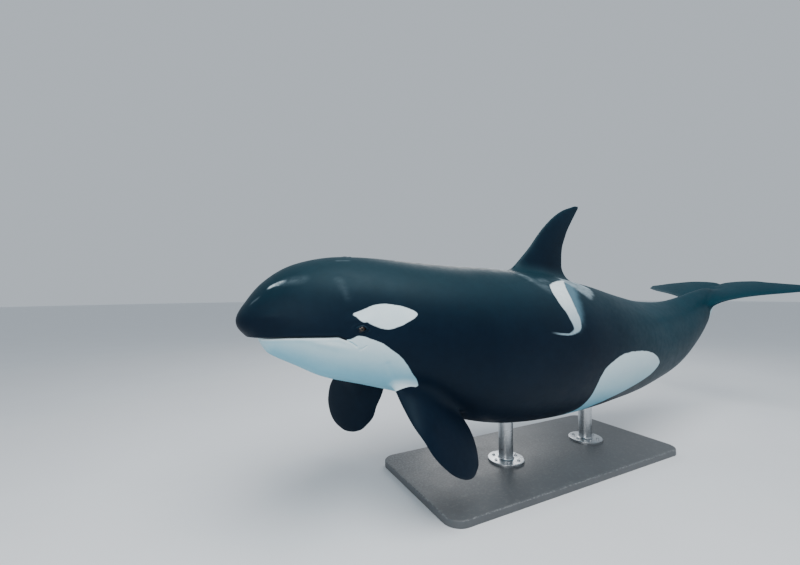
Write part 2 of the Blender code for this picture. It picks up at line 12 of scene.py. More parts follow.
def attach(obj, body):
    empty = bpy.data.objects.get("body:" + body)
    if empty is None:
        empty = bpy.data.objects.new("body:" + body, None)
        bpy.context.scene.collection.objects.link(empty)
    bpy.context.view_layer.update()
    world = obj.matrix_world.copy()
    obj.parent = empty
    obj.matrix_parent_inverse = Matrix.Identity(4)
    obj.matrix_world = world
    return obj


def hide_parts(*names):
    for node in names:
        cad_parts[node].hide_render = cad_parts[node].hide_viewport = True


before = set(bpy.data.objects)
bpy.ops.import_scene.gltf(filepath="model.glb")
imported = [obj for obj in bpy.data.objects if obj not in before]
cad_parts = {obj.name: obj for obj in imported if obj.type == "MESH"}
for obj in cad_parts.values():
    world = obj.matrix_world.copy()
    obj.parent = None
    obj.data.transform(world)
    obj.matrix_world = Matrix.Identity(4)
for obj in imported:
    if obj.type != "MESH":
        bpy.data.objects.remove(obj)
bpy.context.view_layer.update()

# The animal's own frame has its origin at the tip of the snout, the tail along +X and the left side towards
# -Y. All sizes are metres.
BODY_LENGTH = 5.80
SNOUT = (-2.45, 0.0, 1.30)
SPINE_PITCH = (
    (0.00, 8.4), (0.12, -7.9), (0.28, -10.2), (0.45, -4.4), (0.60, -4.3),
    (0.72, 5.1), (0.84, 20.6), (0.93, 29.2), (1.00, 29.2),
)

# Place along the spine, then in shares of the body's length the height above it, the depth below it and the
# half width, and how square the upper and the lower half of the section are
GIRTH = (
    (0.00, 0.0000, 0.0000, 0.000, 2.00, 2.00),
    (0.01, 0.0185, 0.0175, 0.020, 2.00, 2.05),
    (0.03, 0.0403, 0.0372, 0.035, 2.00, 2.15),
    (0.06, 0.0595, 0.0521, 0.051, 2.00, 2.25),
    (0.10, 0.0726, 0.0661, 0.066, 2.05, 2.25),
    (0.15, 0.0794, 0.0726, 0.079, 2.10, 2.25),
    (0.20, 0.0838, 0.0800, 0.088, 2.15, 2.25),
    (0.25, 0.0901, 0.0945, 0.094, 2.15, 2.25),
    (0.30, 0.0974, 0.1090, 0.098, 2.20, 2.25),
    (0.35, 0.1025, 0.1125, 0.099, 2.20, 2.25),
    (0.42, 0.1045, 0.1098, 0.098, 2.20, 2.25),
    (0.50, 0.0976, 0.1030, 0.091, 2.15, 2.20),
    (0.60, 0.0848, 0.0905, 0.074, 2.05, 2.10),
    (0.70, 0.0740, 0.0750, 0.054, 1.95, 1.95),
    (0.80, 0.0608, 0.0617, 0.036, 1.85, 1.85),
    (0.88, 0.0472, 0.0472, 0.023, 1.80, 1.80),
    (0.92, 0.0360, 0.0345, 0.018, 1.80, 1.80),
    (0.95, 0.0245, 0.0225, 0.014, 1.80, 1.80),
    (0.97, 0.0125, 0.0115, 0.011, 1.85, 1.85),
    (0.985, 0.0030, 0.0028, 0.0085, 1.90, 1.90),
    (1.00, 0.0012, 0.0012, 0.004, 1.90, 1.90),
)
STOCK_END = 0.985

# Fineness of the skin: spacing of its rings along the spine, and columns below and above the mouth line
RING_SPACING = (
    (0.000, 0.0020), (0.010, 0.0028), (0.095, 0.0034), (0.103, 0.0018), (0.129, 0.0018),
    (0.160, 0.0055), (0.200, 0.0095), (0.900, 0.0095), (1.000, 0.0070),
)
COLUMNS_BELOW = 66
COLUMNS_ABOVE = 112
# Where columns stand closer: degrees to each side, how much closer, and the reach along the spine, which for
# the lips is the stretch behind the mouth's corner where it ends
LIP_COLUMNS = (5, 7.0, (0.11, 0.18))
EYE_COLUMNS = (7, 3.0, 0.02)
BLOWHOLE_COLUMNS = (11, 3.5, 0.03)

# Mouth
MOUTH_DROP = 0.080
UPPER_LIP_DROOP = 0.014
UPPER_LIP_DROOP_REACH = (0.04, 0.32)
MOUTH_CORNER_X = 0.585
MOUTH_CORNER_DIP = 0.018
MOUTH_CORNER_LENGTH = 0.060
CHEEK_ANGLE = -13.0
CHEEK_LENGTH = 0.25
LIP_GROOVE_DEPTH = 0.013
LIP_GROOVE_WIDTH = 0.0045
LIP_GROOVE_SHALLOW_SHARE = 0.4
LIP_GROOVE_DEEPENS = (0.08, 0.25)
LIP_FADE = 0.05
# Rise, height over the line between the lips, and width of each lip's roll
LIP_ROLLS = ((0.00160, 0.014, 0.009), (0.00128, -0.016, 0.010))
JAW_RECESS = 0.105
JAW_RECESS_REACH = 0.20
JAW_INSET = 0.05
JAW_INSET_REACH = 0.38
JAW_STEP = (0.009, -0.001)

# Eye and lids. The gaze is the left eye's. The ridges and the crease have a rise, and a place and width in
# multiples of the lids' opening.
EYE_PLACE = 0.1155
EYE_ANGLE = -3.0
EYE_RADIUS = 0.030
EYE_SUNK = 0.021
EYE_GAZE = (-0.16, -1.0, -0.06)
CORNEA_RADIUS = 0.0145
CORNEA_RISE = 0.0022
PUPIL_SIZE = (0.0075, 0.0042)
LID_OPENING = (0.023, 0.0135)
LID_ROUNDNESS = 1.6
LID_RIDGES = ((0.0085, 1.18, 0.42), (0.0022, 2.30, 0.50))
LID_CREASE = (0.0030, 1.80, 0.13)
BROW_RISE = 0.006
BROW_PLACE = (-0.005, 0.050)
BROW_SIZE = (0.055, 0.022)
SOCKET_DEPTH = 0.020
SOCKET_RIM = 0.97
LIDS_REACH = 0.12
# How far from the skin the lids and the blowhole shape it
FEATURE_REACH = 0.06

# Blowhole, and its slit, rim, plug and the hollow behind it: rise, place behind the slit, width, and the
# shares of the blowhole's half width between which it fades out
BLOWHOLE_PLACE = 0.112
BLOWHOLE_WIDTH = 0.105
BLOWHOLE_SAG = 0.030
BLOWHOLE_REACH = 0.2
BLOWHOLE_RELIEF = (
    (-0.0180, 0.000, 0.0045, 0.80, 1.08),
    (0.0035, 0.014, 0.0110, 0.70, 1.25),
    (0.0050, -0.026, 0.0220, 0.30, 1.10),
    (-0.0040, 0.050, 0.0300, 0.50, 1.60),
)

# Unevenness: how many waves it is the sum of, and for the whole body its rise, length and seed
WAVES = 9
BODY_WAVES = (0.0022, 0.42, 4)

# Fins: outlines as (way to the tip, leading edge, trailing edge), and thickness as the root's, the share left
# of it at the tip, and the power of the taper
FIN_RINGS = 90
FIN_COLUMNS = 44
FIN_LAST_RING = 0.9992
FIN_CROWDING = 1.9
EDGE_WEAR = 0.004
EDGE_WEAR_LENGTH = 0.16
DORSAL_FOOT = (2.235, 0.300)
DORSAL_OUTLINE = (
    (0.00, -0.110, 0.640), (0.12, 0.022, 0.592), (0.27, 0.183, 0.602), (0.42, 0.318, 0.660),
    (0.54, 0.452, 0.735), (0.64, 0.612, 0.805), (0.685, 0.740, 0.835), (0.70, 0.805, 0.835),
)
DORSAL_THICKNESS = (0.085, 0.16, 0.9)
DORSAL_SINK = 0.10
DORSAL_ROOT_SPREAD = 0.3
FLIPPER_LENGTH = 0.744
FLIPPER_SINK = 0.11
FLIPPER_OUTLINE = (
    (0.00, -0.150, 0.196), (0.15, -0.212, 0.238), (0.35, -0.284, 0.297), (0.55, -0.308, 0.321),
    (0.75, -0.268, 0.297), (0.90, -0.180, 0.220), (0.97, -0.100, 0.143), (1.00, 0.002, 0.059),
)
FLIPPER_THICKNESS = (0.080, 0.22, 0.8)
FLIPPER_ROOT = (1.013, -0.347, -0.384)
SHOULDER_REACH = 0.45
SHOULDER_BEND = 0.42
SHOULDER_RISE = 0.35
SHOULDER_TWIST = 0.2
FLIPPER_AIMS = {1: ((0.524, -0.228, -0.820), -25.9), -1: ((-0.172, 0.552, -0.816), -54.0)}
FLUKE_RINGS = 84
FLUKE_HALF_SPAN = 0.870
FLUKE_OUTLINE = (
    (0.00, -0.620, 0.075), (0.04, -0.600, 0.096), (0.09, -0.550, 0.106), (0.18, -0.400, 0.112),
    (0.33, -0.288, 0.114), (0.48, -0.205, 0.103), (0.64, -0.120, 0.100), (0.77, -0.034, 0.108),
    (0.84, 0.026, 0.121), (0.87, 0.062, 0.128),
)
FLUKE_THICKNESS = (0.075, 0.14, 1.3)
FLUKE_ARCH = 0.027
FLUKE_DROOP = 0.060
FLUKE_ROLL = 1.3

# How far from each fin's root the skin is eased into a hollow curve
ROOT_REACH = {"dorsal": 0.11, "flipper_left": 0.08, "flipper_right": 0.08, "flukes": 0.09}
ROOT_ROUNDS = 12
ROOT_PULL = 0.6
ROOT_TURN = 1.25
ROOT_STEEPEST = 0.15
TOUCHING = 0.0005

# Markings, as (place along the spine, degrees up from the side's middle), and the radius that turns the
# degrees into metres
MAP_RADIUS = 0.45
# Heights over the plain body from which the patches, and between which the strokes, end on the fins' roots
PATCH_LIFT = 0.018
PATCH_LOSS = 2.5
STROKE_LIFT = (0.012, 0.060)
EYE_PATCH = (
    (0.1045, 6.5), (0.1112, 9.5), (0.1183, 12.2), (0.1247, 14.5), (0.1322, 16.0), (0.1390, 16.5),
    (0.1468, 16.2), (0.1536, 15.6), (0.1618, 14.4), (0.1690, 12.4), (0.1708, 10.6), (0.1661, 7.2),
    (0.1600, 4.2), (0.1554, 2.0), (0.1493, 0.2), (0.1429, -1.0), (0.1351, -1.1), (0.1283, -0.4),
    (0.1225, 0.6), (0.1194, 1.6), (0.1160, 1.3), (0.1122, 2.4), (0.1085, 4.6),
)
CHIN_AND_BELLY = (
    (-0.030, -110.0), (-0.030, 0.0), (0.060, -6.0), (0.090, -10.0), (0.0985, -12.4), (0.1020, -12.4),
    (0.1065, -11.3), (0.1122, -8.6), (0.1180, -8.4), (0.1244, -9.5), (0.1365, -11.4), (0.1450, -14.4),
    (0.1540, -18.0), (0.1610, -21.2), (0.1668, -24.5), (0.1732, -29.2), (0.1796, -34.5), (0.1842, -37.4),
    (0.1880, -40.0), (0.1915, -43.5), (0.1930, -46.8), (0.1912, -48.9), (0.1882, -48.6), (0.1855, -49.8),
    (0.1838, -53.5), (0.1832, -58.5), (0.1856, -65.0), (0.1980, -71.0), (0.2200, -75.5), (0.2600, -78.6),
    (0.3100, -79.6), (0.3550, -78.6), (0.3900, -74.6), (0.4150, -68.0), (0.4320, -62.0), (0.4420, -57.5),
    (0.4488, -53.5), (0.4522, -46.0), (0.4540, -38.0), (0.4552, -32.0), (0.4560, -26.5), (0.4578, -22.0),
    (0.4606, -17.0), (0.4670, -12.0), (0.4740, -9.6), (0.4835, -7.2), (0.5014, -3.7), (0.5150, -2.4),
    (0.5310, -1.5), (0.5500, -1.0), (0.5706, -1.0), (0.5900, -1.7), (0.6090, -3.2), (0.6250, -6.2),
    (0.6385, -10.8), (0.6468, -15.6), (0.6458, -19.6), (0.6406, -23.0), (0.6330, -26.4), (0.6200, -30.2),
    (0.5965, -35.0), (0.5690, -39.4), (0.5440, -42.4), (0.5231, -44.8), (0.5070, -48.8), (0.4962, -52.0),
    (0.4860, -56.0), (0.4830, -60.5), (0.4880, -65.5), (0.5100, -70.0), (0.5500, -74.5), (0.5900, -78.0),
    (0.6250, -82.0), (0.6450, -88.0), (0.6500, -110.0),
)
SADDLE_BAND = (
    (0.3850, 52.0), (0.3792, 46.0), (0.3784, 40.0), (0.3814, 32.0), (0.3878, 25.5), (0.3917, 21.0),
    (0.3957, 17.0), (0.3974, 13.8), (0.3950, 11.9), (0.3905, 10.6), (0.3890, 9.8), (0.3950, 9.7),
    (0.4035, 10.9), (0.4098, 13.2), (0.4128, 16.5), (0.4122, 21.5), (0.4100, 27.0), (0.4095, 32.0),
    (0.4098, 38.0), (0.4115, 44.0), (0.4170, 52.0), (0.4257, 59.0), (0.4330, 64.0), (0.4130, 60.0),
    (0.3960, 56.0),
)
SADDLE_SHADE = (
    (0.4060, 14.0), (0.4165, 18.0), (0.4215, 26.0), (0.4250, 34.0), (0.4300, 42.0), (0.4370, 49.0),
    (0.4440, 57.0), (0.4330, 62.0), (0.4200, 60.0), (0.4060, 48.0), (0.4000, 30.0), (0.4000, 20.0),
)
SADDLE_ARM = (
    (0.4290, 62.0), (0.4350, 56.0), (0.4400, 51.5), (0.4460, 46.5), (0.4530, 43.0), (0.4600, 43.5),
    (0.4690, 46.0), (0.4765, 50.0), (0.4835, 55.5), (0.4865, 62.0), (0.4860, 70.0), (0.4800, 79.0),
    (0.4600, 80.0), (0.4420, 76.0), (0.4330, 68.0),
)
# The saddle's hook: its thin line runs forward from the band's foot
SADDLE_HOOK = ((0.3500, 9.8), (0.3600, 9.5), (0.3700, 9.2), (0.3850, 9.3), (0.3950, 10.0))
# Pale strokes: two ends on the same map, half width, softness, strength, and the sides (1 left, -1 right)
PALE_STROKES = (
    # The first two strokes are a painted highlight along the back's silhouette behind the dorsal fin, on both
    # sides; the others are pale marks
    ((0.4480, 76.0), (0.4693, 68.5), 0.018, 0.030, 0.92, (1, -1)),
    ((0.4693, 68.5), (0.4850, 60.0), 0.012, 0.030, 0.60, (1, -1)),
    ((0.3470, 65.0), (0.3520, 59.0), 0.034, 0.036, 0.25, (1,)),
    ((0.3520, 59.0), (0.3720, 48.0), 0.034, 0.040, 0.17, (1, -1)),
    ((0.3740, 57.0), (0.3860, 58.5), 0.014, 0.045, 0.25, (1,)),
    ((0.0345, 52.3), (0.0390, 51.0), 0.017, 0.013, 0.80, (1,)),
    ((0.0390, 51.0), (0.0432, 49.0), 0.019, 0.015, 0.70, (1,)),
    ((0.0450, 48.0), (0.0580, 44.0), 0.010, 0.060, 0.18, (1,)),
    ((0.0172, 47.6), (0.0205, 46.6), 0.013, 0.014, 0.17, (1,)),
    ((0.0912, 37.0), (0.0950, 28.5), 0.010, 0.030, 0.10, (1,)),
    ((0.0950, 28.5), (0.0989, 19.5), 0.008, 0.026, 0.07, (1,)),
    ((0.0950, 66.0), (0.1060, 65.5), 0.004, 0.016, 0.22, (1,)),
    ((0.0560, 40.0), (0.0700, 33.0), 0.004, 0.020, 0.22, (-1,)),
    ((0.2450, 24.0), (0.2750, 30.0), 0.005, 0.020, 0.16, (-1,)),
)
# The white under the flukes: its distance from the trailing edge and, at the root, from the leading edge, how
# much the latter grows to the tip, the share of the span where it ends, how far ahead of the notch and where
# along the spine it starts, and how sharply it ends at the flukes' rim
FLUKE_DARK_EDGE = 0.050
FLUKE_DARK_FRONT = 0.012
FLUKE_DARK_WIDENING = 0.05
FLUKE_WHITE_SPAN = 0.93
FLUKE_WHITE_REACH = 0.7
FLUKE_WHITE_START = 0.87
FLUKE_RIM_SHARPNESS = 4
# Heights over the floor between which the saddle turns from grey to pale
SADDLE_FADE = (1.12, 1.50)

# Colours, mostly as a darker and a lighter tone
# Painted light and shade on the black skin: teal where it is lit from above, navy in shade below
TEAL_PAINTED_TOP_LIGHT = ((0.0038, 0.0175, 0.0260), (0.0062, 0.0270, 0.0385))
NAVY_PAINTED_SHADE = ((0.0012, 0.0040, 0.0110), (0.0024, 0.0085, 0.0200))
# Painted teal light on the black skin astern
STERN_TEAL_PAINTED_LIGHT = ((0.0030, 0.0240, 0.0370), (0.0052, 0.0360, 0.0530))
WHITE = ((0.58, 0.72, 0.76), (0.68, 0.78, 0.80))
# The white in painted shade, where it faces down
WHITE_IN_PAINTED_SHADE = ((0.13, 0.37, 0.48), (0.19, 0.44, 0.55))
# Grey of the pale marks and of the painted highlight along the back behind the dorsal fin
SMEAR_AND_HIGHLIGHT_GREY = ((0.13, 0.19, 0.23), (0.22, 0.30, 0.34))
SADDLE_TOP = ((0.58, 0.67, 0.69), (0.72, 0.79, 0.80))
SADDLE_FOOT = ((0.21, 0.31, 0.37), (0.30, 0.41, 0.47))
SADDLE_SHADE_GREY = (0.14, 0.26, 0.33)
SADDLE_ARM_GREY = (0.36, 0.46, 0.52)
SCRATCH_GREY = (0.20, 0.25, 0.28)
LIP_BLACK = (0.006, 0.008, 0.010)
IRIS_BROWN = ((0.012, 0.007, 0.004), (0.050, 0.030, 0.016))
GLOBE_BROWN = ((0.010, 0.007, 0.006), (0.026, 0.017, 0.014))
IRIS_RIM = (0.006, 0.004, 0.004)
PUPIL_BLACK = (0.001, 0.001, 0.002)
PAINT_GREY = ((0.060, 0.066, 0.072), (0.088, 0.096, 0.104))
DUST_GREY = (0.30, 0.30, 0.29)
WORN_GREY = (0.24, 0.25, 0.26)
STEEL_GREY = ((0.46, 0.48, 0.50), (0.60, 0.62, 0.63))
STEEL_CLOUD = (0.40, 0.42, 0.45)
FLOOR_GREY = ((0.72, 0.74, 0.76), (0.76, 0.78, 0.80))
SURROUNDINGS = (0.72, 0.80, 0.88)
SURROUNDINGS_STRENGTH = 0.72

# Stand
BASE_LENGTH = 2.50
BASE_WIDTH = 1.10
BASE_THICKNESS = 0.050
BASE_CORNER = 0.12
BASE_EDGE = 0.008
ROD_RADIUS = 0.060
ROD_FILLET = 0.012
ROD_SIDES = 96
ROD_TRIAL_TOP = 0.50
ROD_PLACES = {"stand_rod_front": 2.12, "stand_rod_rear": 3.12}
ROD_FOOT_RADIUS = 0.150
ROD_FOOT_THICKNESS = 0.020
ROD_FOOT_EDGE = 0.005
BOLTS = 6
BOLT_CIRCLE = 0.108
BOLT_SIDES = 24
BOLT_SUNK = 0.0005
BOLT_PROFILE = ((0.0125, 0.0), (0.0125, 0.008), (0.0110, 0.0105), (0.0065, 0.0108), (0.0060, 0.005))
GAP = 0.0003
QUARTER_TURN = 1.57

# Floor and lights: name, place, aimed at, size, power
FLOOR_RADIUS = 60
FLOOR_DROP = 0.0008
LIGHTS = (
    ("overhead", (-1.2, -2.2, 6.2), (-0.4, 0.0, 1.3), 5.0, 420.0),
    ("front_fill", (-6.0, -4.2, 2.6), (-1.6, 0.0, 1.2), 3.5, 150.0),
    ("back_fill", (3.5, 5.5, 4.2), (0.3, 0.0, 1.3), 4.0, 160.0),
)

# The photograph's view
CAMERA_PLACE = (-2.619, -2.543, 1.486)
CAMERA_YAW = 26.9
CAMERA_PITCH = 1.32
CAMERA_ROLL = -0.35
CAMERA_LENS = 17.32
CAMERA_SENSOR = 36.0


def column(table, index):
    return np.array([row[index] for row in table], float)


def smooth(at, knots, values):
    """A curve through the knots that never overshoots them (monotone cubic)."""
    knots = np.asarray(knots, float)
    values = np.asarray(values, float)
    step = np.diff(knots)
    slope = np.diff(values) / step
    tangent = np.zeros(len(knots))
    for i in range(1, len(knots) - 1):
        if slope[i - 1] * slope[i] > 0:
            first = 2 * step[i] + step[i - 1]
            second = step[i] + 2 * step[i - 1]
            tangent[i] = (first + second) / (first / slope[i - 1] + second / slope[i])
    tangent[0] = slope[0]
    tangent[-1] = slope[-1]
    at = np.clip(np.asarray(at, float), knots[0], knots[-1])
    i = np.clip(np.searchsorted(knots, at, side="right") - 1, 0, len(knots) - 2)
    s = (at - knots[i]) / step[i]
    return (
        (1 + 2 * s) * (1 - s) ** 2 * values[i]
        + s * (1 - s) ** 2 * step[i] * tangent[i]
        + s * s * (3 - 2 * s) * values[i + 1]
        + s * s * (s - 1) * step[i] * tangent[i + 1]
    )


def ramp(low, high, value):
    """0 below low, 1 above high, and an easy turn between them."""
    s = np.clip((value - low) / (high - low), 0, 1)
    return s * s * (3 - 2 * s)


def hump(value, width):
    return np.exp(-((value / width) ** 2))


def ridge(value, rise, place, width):
    return rise * hump(value - place, width)


# The spine, integrated from its pitch at even steps
SPINE_T = np.linspace(0, 1, 801)
SPINE_TILT = np.radians(smooth(SPINE_T, column(SPINE_PITCH, 0), column(SPINE_PITCH, 1)))


def running_sum(values, steps):
    return np.concatenate([[0], np.cumsum((values[1:] + values[:-1]) / 2 * steps)])


SPINE_X = running_sum(np.cos(SPINE_TILT), BODY_LENGTH * SPINE_T[1])
SPINE_Z = running_sum(np.sin(SPINE_TILT), BODY_LENGTH * SPINE_T[1])


def girth(t, index):
    """One of the section's sizes at t. The square root of t keeps the snout blunt."""
    return smooth(np.sqrt(np.clip(t, 0, 1)), np.sqrt(column(GIRTH, 0)), column(GIRTH, index))


def half_section(t, above):
    """The section's height and squareness at t, above the spine or below it."""
    return np.where(above, girth(t, 1), girth(t, 2)), np.where(above, girth(t, 4), girth(t, 5))


def spine_at(t):
    return [np.interp(t, SPINE_T, line) for line in (SPINE_X, SPINE_Z, SPINE_TILT)]


def skin_point(t, angle):
    """A point of the plain body. Angle 0 is the left side, a quarter turn the back."""
    x, z, tilt = spine_at(t)
    across = np.cos(angle)
    up = np.sin(angle)
    tall, square = half_section(t, up >= 0)
    side = np.sign(across) * np.abs(across) ** (2 / square)
    rise = np.sign(up) * np.abs(up) ** (2 / square)
    height = BODY_LENGTH * rise * tall
    y = -BODY_LENGTH * girth(t, 3) * side
    return np.stack([x - height * np.sin(tilt), y, z + height * np.cos(tilt)], -1)


def on_the_map(points):
    """Any points' places along the spine, angles up from the side's middle, and heights over the body."""
    t = np.clip(points[:, 0] / BODY_LENGTH, 0.001, 0.999)
    for _ in range(12):
        x, z, tilt = spine_at(t)
        ahead = (points[:, 0] - x) * np.cos(tilt) + (points[:, 2] - z) * np.sin(tilt)
        t = np.clip(t + ahead / BODY_LENGTH, 0.0002, 1.0)
    x, z, tilt = spine_at(t)
    height = -(points[:, 0] - x) * np.sin(tilt) + (points[:, 2] - z) * np.cos(tilt)
    above = height >= 0
    tall, square = half_section(t, above)
    tall = BODY_LENGTH * tall
    wide = BODY_LENGTH * girth(t, 3)
    up = np.abs(height) / tall
    out = np.abs(points[:, 1]) / wide
    level = (up**square + out**square) ** (1 / square)
    angle = np.arctan2(up ** (square / 2), np.maximum(out, 1e-9) ** (square / 2)) * np.where(above, 1, -1)
    return t, np.degrees(angle), (level - 1) * np.sqrt(tall * wide)


def map_place(t, degrees):
    """Flat coordinates in metres for a place on the map, with distances near to those on the skin."""
    return t * BODY_LENGTH, np.radians(degrees) * MAP_RADIUS


def closed_curve(outline, steps=5):
    """A closed line through the outline's points, rounded between them."""
    t, degrees = np.array(outline, float).T
    points = np.stack(map_place(t, degrees), -1)
    before, after, beyond = (np.roll(points, shift, 0) for shift in (1, -1, -2))
    curve = []
    for s in np.arange(steps) / steps:
        linear = (after - before) * s
        square = (2 * before - 5 * points + 4 * after - beyond) * s**2
        cubic = (3 * points - before - 3 * after + beyond) * s**3
        curve.append(0.5 * (2 * points + linear + square + cubic))
    return np.stack(curve, 1).reshape(-1, 2)


def from_line(u, v, start, end):
    """Distance of each place from the straight line between two flat places."""
    (x0, y0), (x1, y1) = start, end
    run, rise = x1 - x0, y1 - y0
    along = np.clip(((u - x0) * run + (v - y0) * rise) / max(run * run + rise * rise, 1e-12), 0, 1)
    return np.hypot(u - x0 - along * run, v - y0 - along * rise)


def reach_inside(u, v, outline, limit=0.12):
    """How far each place lies inside an outline, in metres, and below 0 outside it."""
    curve = closed_curve(outline)
    reach = np.full(len(u), -limit)
    low, high = curve.min(0) - limit, curve.max(0) + limit
    near = np.flatnonzero((u > low[0]) & (u < high[0]) & (v > low[1]) & (v < high[1]))
    a, b = u[near], v[near]
    nearest = np.full(len(near), limit)
    inside = np.zeros(len(near), bool)
    for start, end in zip(curve, np.roll(curve, -1, 0)):
        nearest = np.minimum(nearest, from_line(a, b, start, end))
        run, rise = end - start
        if rise:
            crossed = (start[1] > b) != (end[1] > b)
            inside ^= crossed & (a < (b - start[1]) * run / rise + start[0])
    reach[near] = np.where(inside, nearest, -nearest)
    return reach


# The body's skin

def mouth_line(x):
    """Height of the line between the lips: drooping a little in front, level, then dipping to its corner."""
    droop = UPPER_LIP_DROOP * (1 - ramp(*UPPER_LIP_DROOP_REACH, x))
    dip = MOUTH_CORNER_DIP * ramp(MOUTH_CORNER_X - MOUTH_CORNER_LENGTH, MOUTH_CORNER_X, x)
    return -MOUTH_DROP - droop - dip


def mouth_angle(t):
    """The section's angle where the mouth line crosses it. Behind the mouth it settles on the cheek's."""
    x, z, tilt = spine_at(t)
    depth = BODY_LENGTH * max(float(girth(t, 2)), 1e-4)
    share = np.clip((z - mouth_line(x)) / np.cos(tilt) / depth, 0.02, 0.94)
    at_line = -np.arcsin(share ** (girth(t, 5) / 2))
    behind = np.clip((x - MOUTH_CORNER_X) / CHEEK_LENGTH, 0, 1)
    return float(at_line * (1 - behind) + math.radians(CHEEK_ANGLE) * behind)


def ring_places():
    """Places of the rings along the spine, as close as the spacing asks, measured over the rounded snout."""
    t = np.linspace(0, 1, 6001) ** 2
    radius = BODY_LENGTH * (girth(t, 1) + girth(t, 2) + 2 * girth(t, 3)) / 4
    run = np.hypot(np.diff(radius), BODY_LENGTH * np.diff(t))
    spacing = np.interp(t, column(RING_SPACING, 0), column(RING_SPACING, 1))
    rings = np.concatenate([[0], np.cumsum(run * 2 / (spacing[1:] + spacing[:-1]))])
    end = np.interp(STOCK_END, t, rings)
    return np.interp(np.linspace(0, end, int(end) + 1)[1:], rings, t)


def graded(start, end, count, peaks):
    """Angles from start to end, closer together at the peaks, given as (angle, width, weight)."""
    angles = np.linspace(start, end, 500)
    density = np.ones(500) + sum(weight * hump(angles - at, width) for at, width, weight in peaks)
    share = running_sum(density, angles[1] - angles[0])
    return np.interp(np.linspace(0, share[-1], count + 1), share, angles)


def ring_angles(t):
    """Angles round one section: one on the mouth line, and closer ones at the lips, eye and blowhole."""
    line = mouth_angle(t)
    width, more, end = LIP_COLUMNS
    lips = (line, math.radians(width), more * (1 - ramp(*end, t)))
    width, more, reach = EYE_COLUMNS
    eye = (math.radians(EYE_ANGLE), math.radians(width), more * hump(t - EYE_PLACE, reach))
    width, more, reach = BLOWHOLE_COLUMNS
    blowhole = (math.pi / 2, math.radians(width), more * hump(t - BLOWHOLE_PLACE, reach))
    below = graded(-math.pi / 2, line, COLUMNS_BELOW, [lips])
    above = graded(line, math.pi / 2, COLUMNS_ABOVE, [lips, eye, blowhole])
    left = np.concatenate([below[:-1], above])
    right = math.pi - left[::-1]
    return np.concatenate([left[:-1], right[:-1]])


def outward(grid):
    """Unit normals of a closed grid of rings."""
    along = np.gradient(grid, axis=0)
    around = np.roll(grid, -1, 1) - np.roll(grid, 1, 1)
    normal = np.cross(around, along)
    normal /= np.maximum(np.linalg.norm(normal, axis=2), 1e-12)[..., None]
    middle = grid.mean(1, keepdims=True)
    return normal * np.sign(((grid - middle) * normal).sum(2, keepdims=True).mean())


def shape_lips(grid):
    """The groove between the lips, the lips' rolled edges, and the lower jaw set back under the upper."""
    x = grid[..., 0]
    above = grid[..., 2] - mouth_line(x)
    fade = np.clip((MOUTH_CORNER_X + LIP_FADE / 2 - x) / LIP_FADE, 0, 1)
    roll = sum(ridge(above, *shape) for shape in LIP_ROLLS)
    shallow = (1 - LIP_GROOVE_SHALLOW_SHARE) * (1 - ramp(*LIP_GROOVE_DEEPENS, x))
    groove = LIP_GROOVE_DEPTH * (1 - shallow)
    depth = (groove * hump(above, LIP_GROOVE_WIDTH) - roll) * fade
    inward = np.array([MOUTH_CORNER_X, 0, 0]) - grid
    inward[..., 2] = 0
    inward /= np.maximum(np.linalg.norm(inward, axis=2), 1e-6)[..., None]
    shaped = grid + inward * depth[..., None]
    under = ramp(*JAW_STEP, above)
    back, narrower = (
        size * np.clip(1 - x / reach, 0, 1) ** 1.5 * under
        for size, reach in ((JAW_RECESS, JAW_RECESS_REACH), (JAW_INSET, JAW_INSET_REACH))
    )
    shaped[..., 0] += back
    shaped[..., 1] *= 1 - narrower
    return shaped


def local_place(grid, t, angle, side):
    """Coordinates along the body, up its side and out of it, from one place on the skin."""
    flip = np.array([1, side, 1])
    angle = math.radians(angle)
    centre = skin_point(t, angle) * flip
    along = (skin_point(t + 0.002, angle) - skin_point(t - 0.002, angle)) * flip
    along /= np.linalg.norm(along)
    upward = (skin_point(t, angle + 0.02) - skin_point(t, angle - 0.02)) * flip
    upward -= along * upward.dot(along)
    upward /= np.linalg.norm(upward)
    out = np.cross(along, upward) * side
    away = grid - centre
    return away @ along, away @ upward, away @ out, out


def lid_shape(grid, side):
    """Almond lids round the eye with a crease outside them, and the socket inside."""
    along, upward, over, out = local_place(grid, EYE_PLACE, EYE_ANGLE, side)
    shares = (np.abs(way) / size for way, size in zip((along, upward), LID_OPENING))
    from_edge = sum(share**LID_ROUNDNESS for share in shares) ** (1 / LID_ROUNDNESS)
    near = (np.hypot(along, upward) < LIDS_REACH) & (np.abs(over) < FEATURE_REACH)
    lid = sum(ridge(from_edge, *shape) for shape in LID_RIDGES)
    crease = ridge(from_edge, *LID_CREASE) * ramp(-0.002, 0.008, np.abs(upward))
    brow = BROW_RISE * hump(along - BROW_PLACE[0], BROW_SIZE[0]) * hump(upward - BROW_PLACE[1], BROW_SIZE[1])
    rise = np.where(from_edge < SOCKET_RIM, -SOCKET_DEPTH, lid - crease + brow)
    return np.where(near, rise, 0)[..., None] * out


def blowhole_shape(grid):
    """A crescent slit with a soft rim, horns forward, and the low swelling of the plug ahead of it."""
    along, left, over, out = local_place(grid, BLOWHOLE_PLACE, 90.0, 1)
    share = left / (BLOWHOLE_WIDTH / 2)
    behind = along - BLOWHOLE_SAG * (0.5 - share**2)
    rise = 0
    for height, place, width, *fade in BLOWHOLE_RELIEF:
        rise += ridge(behind, height, place, width) * (1 - ramp(*fade, np.abs(share)))
    near = (np.hypot(along, left) < BLOWHOLE_REACH) & (np.abs(over) < FEATURE_REACH)
    return np.where(near, rise, 0)[..., None] * out


